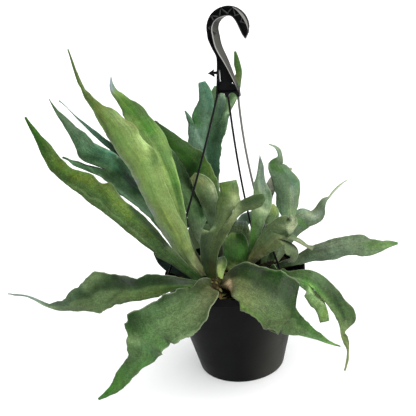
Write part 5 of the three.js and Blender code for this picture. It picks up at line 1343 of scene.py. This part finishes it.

# %% [markdown]
# Bark and scales are matt and fibrous. Each chip has its own brown, and the bed the darkest one.
# Under the fronds on the right both are painted nearly black, as shade. A photographed texture
# could show that, but one colour a chip, a noise of moss and a drawn out noise of fibres do it at
# any distance. The fibres also make the surface rise and fall.

# %% Bark finish
def bark_finish(name):
    """A matt skin over the piece's own tint, with mossy patches and fibres."""
    material, tree, shader = new_finish(name, Specular_IOR_Level=0.06)
    place = object_place(tree)
    base = stored(tree, "tint", "Color")
    fibre = streaks(tree, place, (900, 300, 900))
    moss = span(tree, noise(tree, place, 50, 3), 0.52, 0.66, 0, 0.5)
    mossy = node(tree, "HueSaturation", {"Color": base, "Hue": 0.54, "Saturation": 1.2,
                                         "Value": 1.3})
    base = mixed(tree, moss, base, mossy.outputs["Color"])
    dark = span(tree, fibre, 0.3, 0.6, 0.55, 1.25)
    base = node(tree, "HueSaturation", {"Color": base, "Value": dark}).outputs["Color"]
    wire(tree, shader, base, span(tree, fibre, 0.3, 0.7, 0.98, 0.8), fibre, 0.001)
    return material


x, y, _ = places_of(bed.data).T
lay_tint(bed.data, BARK[3] * 0.5 * painted_bark_light(x, y)[:, None])
dress(bed, bark_finish("shaded bark bed"), "medium", "growing_medium")
dress(bark, bark_finish("loose bark"), "medium")
print("the shaded bark keeps", round(float(painted_bark_light(40, 0) / LIGHT_SHARE), 2), "of its brightness")

# %% [markdown]
# ## The crowns
#
# The fronds grow from short creeping stems, brown knobs covered in papery scales. Each is a dome
# on the plain model. Here its scales overlap like roof tiles: the next one always sits a golden
# angle further round and a little lower, which is how plants fill a round surface evenly.

# %% Scaly crowns
CROWNS = {"left": (-35, -41, 25, 160), "centre": (11, -15, 19, 158),
          "right": (50, 0, 21, 152), "back": (-16, 46, 24, 158)}
GOLDEN_ANGLE = math.pi * (3 - math.sqrt(5))
SCALES, DOME_FOOT, DOME_SEGMENTS = 150, 126, 48


def dome(x, y, radius, top):
    """A half ellipsoid on a short tapered foot, turned about its own axis, with a rough skin."""
    angle = np.linspace(0, math.pi / 2, 14)
    outline = np.concatenate([[[0, DOME_FOOT], [radius * 0.6, DOME_FOOT]], np.stack(
        [radius * np.cos(angle), LEVEL + (top - LEVEL) * np.sin(angle)], axis=-1)])
    outline[-1, 0] = 0
    points, faces = turned(outline, DOME_SEGMENTS)
    waves = np.sin(points[:, 1:2] * 1.1 + points[:, 2:] * 0.8)
    points[:, :2] *= 1 + 0.03 * np.sin(points[:, :1] * 0.9) * waves
    return points + [x, y, 0], faces


def scales(x, y, radius, top, count, draw):
    """Flat pointed scales that hang from the dome. Number i sits at i golden angles, on the
    ring where the dome's own height falls evenly; each leans outwards at its lower end."""
    i = (np.arange(count) + 0.5) / count
    lift, turn = np.arcsin(1 - 0.95 * i), np.arange(count) * GOLDEN_ANGLE
    foot = np.stack([radius * np.cos(lift) * np.cos(turn), radius * np.cos(lift) * np.sin(turn),
                     (top - LEVEL) * np.sin(lift)], axis=-1)
    level = np.cos(lift)
    out = unit(np.stack([np.cos(turn) * level, np.sin(turn) * level, np.sin(lift)], -1))
    side = np.stack([-np.sin(turn), np.cos(turn), 0 * turn], axis=-1)
    down = -np.cross(side, out)
    down = np.where(down[:, 2:] > 0, -down, down)
    s = np.linspace(0, 1, 4)
    half = np.array([0.55, 1, 0.8, 0.12])
    length, wide = draw.uniform(4.5, 7.5, (count, 1)), draw.uniform(1.6, 2.6, (count, 1))
    lean = draw.uniform(0.3, 1.6, (count, 1))
    middle = (foot[:, None] + down[:, None] * (length * s)[..., None]
              + out[:, None] * (0.3 + lean * s ** 2)[..., None])
    edge = side[:, None] * (wide * half)[..., None]
    sheet = np.stack([middle - edge, middle + out[:, None] * 0.5, middle + edge], axis=2)
    points, faces = closed_flakes(np.stack([sheet, sheet - out[:, None, None] * 0.5], axis=1))
    return points + [x, y, LEVEL], faces


SCALE_BROWNS = np.array([rgb(*c) for c in ((92, 82, 48), (116, 110, 64), (66, 58, 34),
                                           (128, 126, 82))])
UNDER_SCALES = rgb(56, 50, 30)
# the right crown's colours are painted darker, as shade under the fronds
SHADED = {"right": 0.15}     # this crown stands under the fronds, damp and dark
crown_skin = bark_finish("crown skin")
for name, (x, y, radius, top) in CROWNS.items():
    draw = np.random.default_rng(len(name) * 5 + 1)
    dome_points, dome_faces = dome(x, y, radius, top)
    scale_points, scale_faces = scales(x, y, radius, top, SCALES, draw)
    browns = SCALE_BROWNS[draw.integers(0, len(SCALE_BROWNS), SCALES)]
    browns = browns * draw.uniform(0.75, 1.2, (SCALES, 1))
    shade = np.concatenate([np.broadcast_to(UNDER_SCALES, (len(dome_points), 3)),
                            np.repeat(browns, FLAKE_POINTS, axis=0)]) * SHADED.get(name, 1)
    crown = new_piece("crown_" + name, np.concatenate([dome_points, scale_points]),
                      dome_faces + [f + len(dome_points) for f in scale_faces], True,
                      tint=shade * LIGHT_SHARE)
    dress(crown, crown_skin, "rhizome", "rhizome_" + name)
    print("crown", name + ":", len(crown.data.polygons), "faces")

# %% [markdown]
# ## The hook
#
# The hanger's hook is one flat moulding. It has a thin web in the middle, a flange round its
# outline like an H beam, and a zigzag of ribs in the crook. A flat curve with holes, given a
# depth and a tiny bevel, makes each of these from its outline alone. The curves are made meshes
# and stood upright in the hanger's own plane: s along the plate, z up.

# %% Outlines of the hook
HANGER_PLACE, HANGER_TURN = (12, 0), math.radians(-15)
HOOK_DEPTH, WEB, FLANGE, HOOK_FOOT = 9, 3, 2, 401
CROOK = dict(centre=(6.6, 482.4), outer=27.4, inner=(8.6, 481.6), bore=15.5)
STAND = (Matrix.Translation((HANGER_PLACE[0] * MM, HANGER_PLACE[1] * MM, 0))
         @ Matrix.Rotation(HANGER_TURN, 4, "Z"))


def arc(centre, radius, start, end, steps=40):
    """Points on a circle from one angle to another, in degrees."""
    angle = np.radians(np.linspace(start, end, steps + 1))
    return np.array(centre) + radius * around(angle)


def eased(points, steps=8):
    """A smooth line through a few points."""
    rows = np.pad(np.array(points, dtype=float), ((0, 0), (0, 1)))
    rows = np.insert(rows, 2, 0, axis=1)
    smooth, _ = smooth_rows(rows, np.linalg.norm(np.diff(rows, axis=0), axis=1).sum()
                            / (steps * (len(points) - 1)))
    return smooth[:, :2]


inner_edge = np.concatenate([
    eased([[15.2, HOOK_FOOT], [12.6, 411], [8.4, 424.6], [2.9, 442.5], [-4.2, 462],
           [-6.4, 477.5]])[:-1],
    arc(CROOK["inner"], CROOK["bore"], 195, 80, 34),
    eased([[13.9, 495.5], [17.2, 491], [19, 487.3], [22.2, 479.6], [25.6, 472.2],
           [27.8, 469.2]], 3)])
# how wide the inner flange's leaning face is, at even steps from the foot to the nose
LEAN = [0.2, 0.7, 1.5, 2.8, 4.4, 5.8, 6.8, 7.2, 7, 6.6, 5.4, 3.6, 1.8, 0.9, 0.6, 0.5, 0.4, 0.2]


def set_in(edge, widths):
    """A line moved to its left by the widths, which are spread evenly along it."""
    normal = unit(np.gradient(edge, axis=0))[:, ::-1] * [-1, 1]
    wide = np.interp(np.linspace(0, 1, len(edge)), np.linspace(0, 1, len(widths)), widths)
    return edge + wide[:, None] * normal


def hook_outline(inset):
    """The outline of the hook's body, moved inwards by inset: nose, back of the crook, neck,
    leg, foot, then up the leg and round the bore where the leaning flange begins."""
    left = np.array([inset, 0])
    back = arc(CROOK["centre"], CROOK["outer"] - inset, 2, 184, 72)
    neck = eased([back[-1], left + [-20, 471], left + [-16.2, 460], left + [-11, 447],
                  left + [-11, 440]])
    foot = HOOK_FOOT + inset
    leg = np.array([left + [-13.6, 415], left + [-15.4, foot]])
    bore = set_in(inner_edge, np.array(LEAN) + inset)
    bore = np.concatenate([[[bore[0, 0], foot]], bore[bore[:, 1] > foot]])
    bore[-1] = [28.4 + inset * 0.1, 468 + inset * 1.6]
    return np.concatenate([[[32.5 - inset * 0.8, 475]], back, neck[1:], leg, bore])


def plate(loops, depth, bevel=0.3):
    """A mesh of a flat plate: outlines of (s, z), the first outside and the rest holes, given
    a depth about the plane and a rounded edge. Stood upright and turned to the hanger's place."""
    line = bpy.data.curves.new("outline", "CURVE")
    line.dimensions, line.fill_mode = "2D", "BOTH"
    line.extrude, line.bevel_depth = (depth / 2 - bevel) * MM, bevel * MM
    line.bevel_resolution = 2
    line.offset = -bevel * MM
    for loop in loops:
        spline = line.splines.new("POLY")
        spline.points.add(len(loop) - 1)
        corners = np.pad(np.asarray(loop) * MM, ((0, 0), (0, 2)))
        corners[:, 3] = 1
        spline.points.foreach_set("co", corners.ravel())
        spline.use_cyclic_u = True
    carrier = bpy.data.objects.new("outline", line)
    flat = bpy.data.meshes.new_from_object(carrier)
    bpy.data.objects.remove(carrier)
    flat.transform(STAND @ Matrix.Rotation(math.radians(90), 4, "X"))
    return flat


def fused(name, meshes, angle=40):
    """One piece from several meshes: doubles merged, faces pointed outwards, edges sharper
    than the angle kept sharp."""
    work = bmesh.new()
    for mesh in meshes:
        work.from_mesh(mesh)
    bmesh.ops.remove_doubles(work, verts=work.verts, dist=0.00001)
    bmesh.ops.recalc_face_normals(work, faces=work.faces)
    made = bpy.data.meshes.new(name)
    work.to_mesh(made)
    work.free()
    made.polygons.foreach_set("use_smooth", np.ones(len(made.polygons), dtype=bool))
    made.set_sharp_from_angle(angle=math.radians(angle))
    return placed(name, made)


print("the hook's outline has", len(hook_outline(0)), "corners")

# %% [markdown]
# The parts of the hook are drawn one by one. The outer flange is the outline with the same
# outline, moved in, as a hole. The foot has two arches between the three strand sockets, the leg
# a slot with a small barb beside it and a round eye.

# %% The hook's parts
outer, inner = hook_outline(0), hook_outline(FLANGE)
EYE = (7, 412.6)
eye = arc(EYE, 1.4, -360, 0, 20)[:-1]
slot = np.array([[-10.4, 415], [-8.2, 415], [-8.2, 431], [-10.4, 431]])
foot = np.concatenate([
    [[-16, 395.2], [-13.4, 395.2]], arc((-8, 395.6), 5.5, 184, -4, 24), [[-0.9, 395.2]],
    arc((6.2, 395.2), 5.6, 180, 0, 24), [[15.9, 395.2], [15.3, 403], [-15.4, 403]]])
barb = np.array([[-25, 427], [-16.4, 422], [-17.4, 425.4], [-12.2, 425.4], [-12.2, 428.6],
                 [-17.4, 428.6], [-16.4, 432]])
web_outline = hook_outline(0.6)
parts = [plate([outer, inner], HOOK_DEPTH), plate([web_outline, slot, eye], WEB, 0.2),
         plate([foot], HOOK_DEPTH), plate([barb], 4)]
slot_rim = np.array([[-12, 413.6], [-7, 413.6], [-7, 432.4], [-12, 432.4]])
parts.append(plate([slot_rim, slot], HOOK_DEPTH - 2))
parts.append(plate([arc(EYE, 2.8, -360, 0, 24)[:-1], eye], HOOK_DEPTH - 2.5))
hook = fused("hanger_hook", parts)
hanger_skin = black_plastic("glossy black hanger", (9, 10, 11), 0.4, 0.2, 0.15, 0.06)
dress(hook, hanger_skin, "hanger_plastic", "hook")
print("hook:", len(hook.data.polygons), "faces")

# %% [markdown]
# The flanges lean: seen from the front, the inner one opens like a bowl round the bore and runs
# down the leg as a long grey facet with a pale ridge, and the outer one shows at the right of the
# crook. Each is a strip of wedges between a ridge on the front and the outline. The inner one's
# outline lies at the back, so its face leans, and the outer one's at the front. The ribs between
# them are a zigzag of low bars. The facets' grey is a painted reflection and the ridges' pale line
# a painted highlight, both fading out towards the foot; the ribs are greyer than the web.

# %% Leaning flanges and ribs
# the ridge grey is a painted highlight and the facet grey a painted reflection
RIDGE_HIGHLIGHT_GREY, FACET_REFLECTION_GREY, RIB_GREY = rgb(150, 150, 146), rgb(60, 60, 57), rgb(56, 58, 58)


def to_hanger(flat, depth):
    """Points (s, z) with a depth, turned to the hanger's place. Depth grows towards the back."""
    c, s = math.cos(HANGER_TURN), math.sin(HANGER_TURN)
    depth = np.broadcast_to(depth, flat.shape[:-1])
    return np.stack([HANGER_PLACE[0] + c * flat[..., 0] - s * depth,
                     HANGER_PLACE[1] + s * flat[..., 0] + c * depth, flat[..., 1]], axis=-1)


def leaning(name, edge, widths, ridge, facet_grey, rim):
    """Wedges along an edge line: the facet runs from the edge, at the depth rim, to a ridge in
    front where the widths reach, and tapers to the edge at both ends."""
    front, back = -HOOK_DEPTH / 2 - 0.15, HOOK_DEPTH / 2 + 0.1
    crest, root = set_in(edge, widths), set_in(edge, np.array(widths) + ridge)
    facet = to_hanger(edge, rim) * 0.12 + to_hanger(crest, front) * 0.88
    corners = np.stack([to_hanger(edge, rim), facet, to_hanger(crest, front),
                        to_hanger(root, front), to_hanger(root, back)], axis=1)
    ids = np.arange(len(edge) * 5).reshape(-1, 5)
    # the facet is painted grey as a reflection and the ridge pale as a highlight, fading towards
    # the foot
    wear_and_painted_light = np.stack([facet_grey, facet_grey, RIDGE_HIGHLIGHT_GREY, RIDGE_HIGHLIGHT_GREY * 0.3, FACET_REFLECTION_GREY * 0.5])
    fade = 0.12 + 0.88 * smoothstep((edge[:, 1] - 404) / 14)
    return new_piece(name, corners.reshape(-1, 3), [ring_faces(ids), ids[:1, ::-1], ids[-1:]],
                     False, tint=(wear_and_painted_light * fade[:, None, None]).reshape(-1, 3))


inner = leaning("inner", inner_edge, LEAN, 0.7, FACET_REFLECTION_GREY, HOOK_DEPTH / 2 + 0.1)
outer = leaning("outer", arc(CROOK["centre"], CROOK["outer"] - 0.3, -6, 70, 30),
                [0.2, 1.4, 2.4, 2.8, 2.8, 2.2, 1.2, 0.2], 0.4, RIDGE_HIGHLIGHT_GREY * 0.65,
                -HOOK_DEPTH / 2 - 0.1)
BRACES, BRACE_LEAN, BRACE_REACH, BRACE_HALF = 11, 38, 5.6, 0.5
bars = []
for i in range(BRACES):
    angle = math.radians(14 + 170 * i / (BRACES - 1))
    lean = angle + math.radians(BRACE_LEAN if i % 2 else -BRACE_LEAN)
    middle = np.array([8, 482.5]) + (CROOK["outer"] + CROOK["bore"]) / 2 * around(angle)
    reach = around(lean) * BRACE_REACH
    side = around(lean)[::-1] * [-1, 1] * BRACE_HALF
    bar = middle + np.array([side - reach, -side - reach, reach - side, reach + side])
    bars.append(plate([bar], HOOK_DEPTH - 1.4, 0.2))
ribs = fused("ribs", bars)
lay_tint(ribs.data, RIB_GREY)
flange = fused("hanger_flange", [inner.data, outer.data, ribs.data], 30)
for extra in (inner, outer, ribs):
    bpy.data.objects.remove(extra)
ridge_skin = black_plastic("grey ridges with painted highlights", None, 0.4, 0.3, 0.15, 0.15)
dress(flange, ridge_skin, "hanger_plastic")
print("flanges and ribs:", len(flange.data.polygons), "faces")

# %% [markdown]
# ## The strands
#
# Three moulded rods run from the hook's foot to clips on the rim. Each is a small circle carried
# along a gentle curve. Its frame is kept steady by one fixed side direction, which is enough
# because no rod ever runs along it. The right one is painted grey in its upper part, as painted
# light where the key lamp falls on it.

# %% Strands and clips
# each strand's place along the foot, the rim's degree where it ends, and its bow
STRANDS = {"left": (-14.6, 195, 7), "back": (-0.6, 69, 20), "right": (13, 312, 30)}
STRAND_TOP, STRAND_RADIUS, ROD_SIDES, STEADY = 399, 1.5, 14, (0.3, 0.2, 0.1)
CLIP_WIDTH, CLIP_DROP, CLIP_LIP = 12, 14, 3
PLASTIC_BLACK, SUNLIT_GREY = rgb(9, 10, 11), rgb(84, 86, 82)
strand_skin = black_plastic("strand plastic with painted light", None, 0.5, 0.3, 0.15, 0.15)


def tube(path, radius, sides):
    """A closed tube: circles across the path, whose side directions are the path crossed with a
    steady vector, and a flat cap at each end."""
    tangent = unit(np.gradient(path, axis=0))
    side = unit(np.cross(tangent, STEADY))
    up = np.cross(side, tangent)
    angle = np.linspace(0, 2 * math.pi, sides, endpoint=False)[None, :, None]
    radius = np.broadcast_to(radius, len(path))[:, None, None]
    points = path[:, None] + radius * (np.cos(angle) * side[:, None] + np.sin(angle) * up[:, None])
    ids = np.arange(len(path) * sides).reshape(len(path), sides)
    return points.reshape(-1, 3), [ring_faces(ids)[:, ::-1], ids[:1], ids[-1:, ::-1]]


def strand_path(s, azimuth, bow, steps=60):
    """A quadratic curve from the hook's foot to the rim, bowed inwards by bow."""
    out = np.array([math.cos(math.radians(azimuth)), math.sin(math.radians(azimuth)), 0])
    end = out * (RIM_RADIUS + FIT - 1) + [0, 0, POT_HEIGHT + 1]
    start = to_hanger(np.array([s, STRAND_TOP]), 0)
    middle = (start + end) / 2 - out * bow
    t = np.linspace(0, 1, steps + 1)[:, None]
    return (1 - t) ** 2 * start + 2 * t * (1 - t) * middle + t ** 2 * end


for name, (s, azimuth, bow) in STRANDS.items():
    path = strand_path(s, azimuth, bow)
    t = np.linspace(0, 1, len(path))
    thick = STRAND_RADIUS + 0.4 * np.exp(-(t / 0.02) ** 2) + 0.7 * np.exp(-((1 - t) / 0.025) ** 2)
    points, faces = tube(path, thick, ROD_SIDES)
    rod = new_piece("rod", points, faces)
    outside, inside, top = RIM_RADIUS + FIT, RIM_RADIUS - WALL - 1.5 - FIT, POT_HEIGHT + FIT
    lip, drop = top - CLIP_LIP, top - CLIP_DROP
    profile = [[inside - 2, lip], [inside, lip], [inside, top], [outside, top], [outside, drop],
               [outside + 2, drop], [outside + 2, top + 1.5], [inside - 2, top + 1.5]]
    clip = plate([profile], CLIP_WIDTH, 0.35)
    clip.transform(STAND.inverted())
    clip.transform(Matrix.Rotation(math.radians(azimuth), 4, "Z"))
    strand = fused("hanger_strand_" + name, [rod.data, clip])
    bpy.data.objects.remove(rod)
    # the right strand's upper part is painted grey, as painted light
    wear_and_painted_light = smoothstep((places_of(strand.data)[:, 2:] - 190) / 60) * (name == "right")
    lay_tint(strand.data, PLASTIC_BLACK + (SUNLIT_GREY - PLASTIC_BLACK) * wear_and_painted_light)
    dress(strand, strand_skin, "hanger_plastic", "strand_" + name)
    length = np.linalg.norm(np.diff(path, axis=0), axis=1).sum()
    print("strand", name + ":", round(length), "mm")

# %% [markdown]
# ## The studio
#
# The plant stands on a plain white floor in soft light from the upper right. A wide sun gives the
# same soft light everywhere, which a lamp near the plant would not. As in a studio where the paper
# is lit by its own lamps, the floor has two lights of its own. Only the pot shades the first one,
# softly at its foot, and nothing shades the second, so the floor turns evenly white. The sky
# fills the shadows.

# %% Floor and light
FLOOR_REACH, FLOOR_CORNERS = 200000, 64
angle = np.linspace(0, 2 * math.pi, FLOOR_CORNERS, endpoint=False)
rim = np.pad(around(angle) * FLOOR_REACH, ((0, 0), (0, 1)))
floor = new_piece("studio_floor", rim, [np.arange(FLOOR_CORNERS)[None]], False)
paper, tree, shader = new_finish("white paper floor", Roughness=0.9, Specular_IOR_Level=0.1)
grain = noise(tree, object_place(tree), 3, 2)
tree.links.new(mixed(tree, grain, (0.93, 0.945, 0.95), (0.95, 0.955, 0.96)),
               shader.inputs["Base Color"])
floor.data.materials.append(paper)

sky = bpy.data.worlds.new("studio sky")
sky.use_nodes = True
glow = sky.node_tree.nodes["Background"].inputs
glow["Color"].default_value, glow["Strength"].default_value = (0.97, 0.985, 1, 1), 0.2
bpy.context.scene.world = sky


def soft_sun(name, strength, width, direction, colour):
    """A sun whose disc is width degrees across, shining from the direction."""
    lamp = bpy.data.lights.new(name, "SUN")
    lamp.energy, lamp.angle, lamp.color = strength, math.radians(width), colour
    holder = placed(name, lamp)
    holder.rotation_euler = Vector(direction).to_track_quat("Z", "Y").to_euler()
    return holder


def lit_only(lamp, pieces, state, blockers=()):
    """Link a light to the pieces, or keep it off them, and let only the blockers shade it."""
    reach = bpy.data.collections.new(lamp.name + " reach")
    for piece in pieces:
        reach.objects.link(piece)
    for item in reach.collection_objects:
        item.light_linking.link_state = state
    lamp.light_linking.receiver_collection = reach
    if blockers:
        shade = bpy.data.collections.new(lamp.name + " shade")
        for piece in blockers:
            shade.objects.link(piece)
        lamp.light_linking.blocker_collection = shade


key = soft_sun("key light", 6.8, 22, (0.55, -0.5, 0.9), (1, 0.985, 0.95))
back = soft_sun("back light", 1.4, 40, (-0.6, 0.5, 0.7), (0.92, 0.96, 1))
paper_light = soft_sun("paper light", 4, 130, (0.4, -0.3, 1), (1, 0.98, 0.97))
paper_fill = soft_sun("paper fill", 0.8, 10, (0, 0, 1), (0.97, 1, 1))
lit_only(key, [floor], "EXCLUDE")
lit_only(back, [floor, pot], "EXCLUDE")
lit_only(paper_light, [floor], "INCLUDE", [pot])
lit_only(paper_fill, [floor], "INCLUDE", [floor])
bpy.context.scene.view_settings.view_transform = "Standard"
print("lights:", [lamp.name for lamp in (key, back, paper_light, paper_fill)])
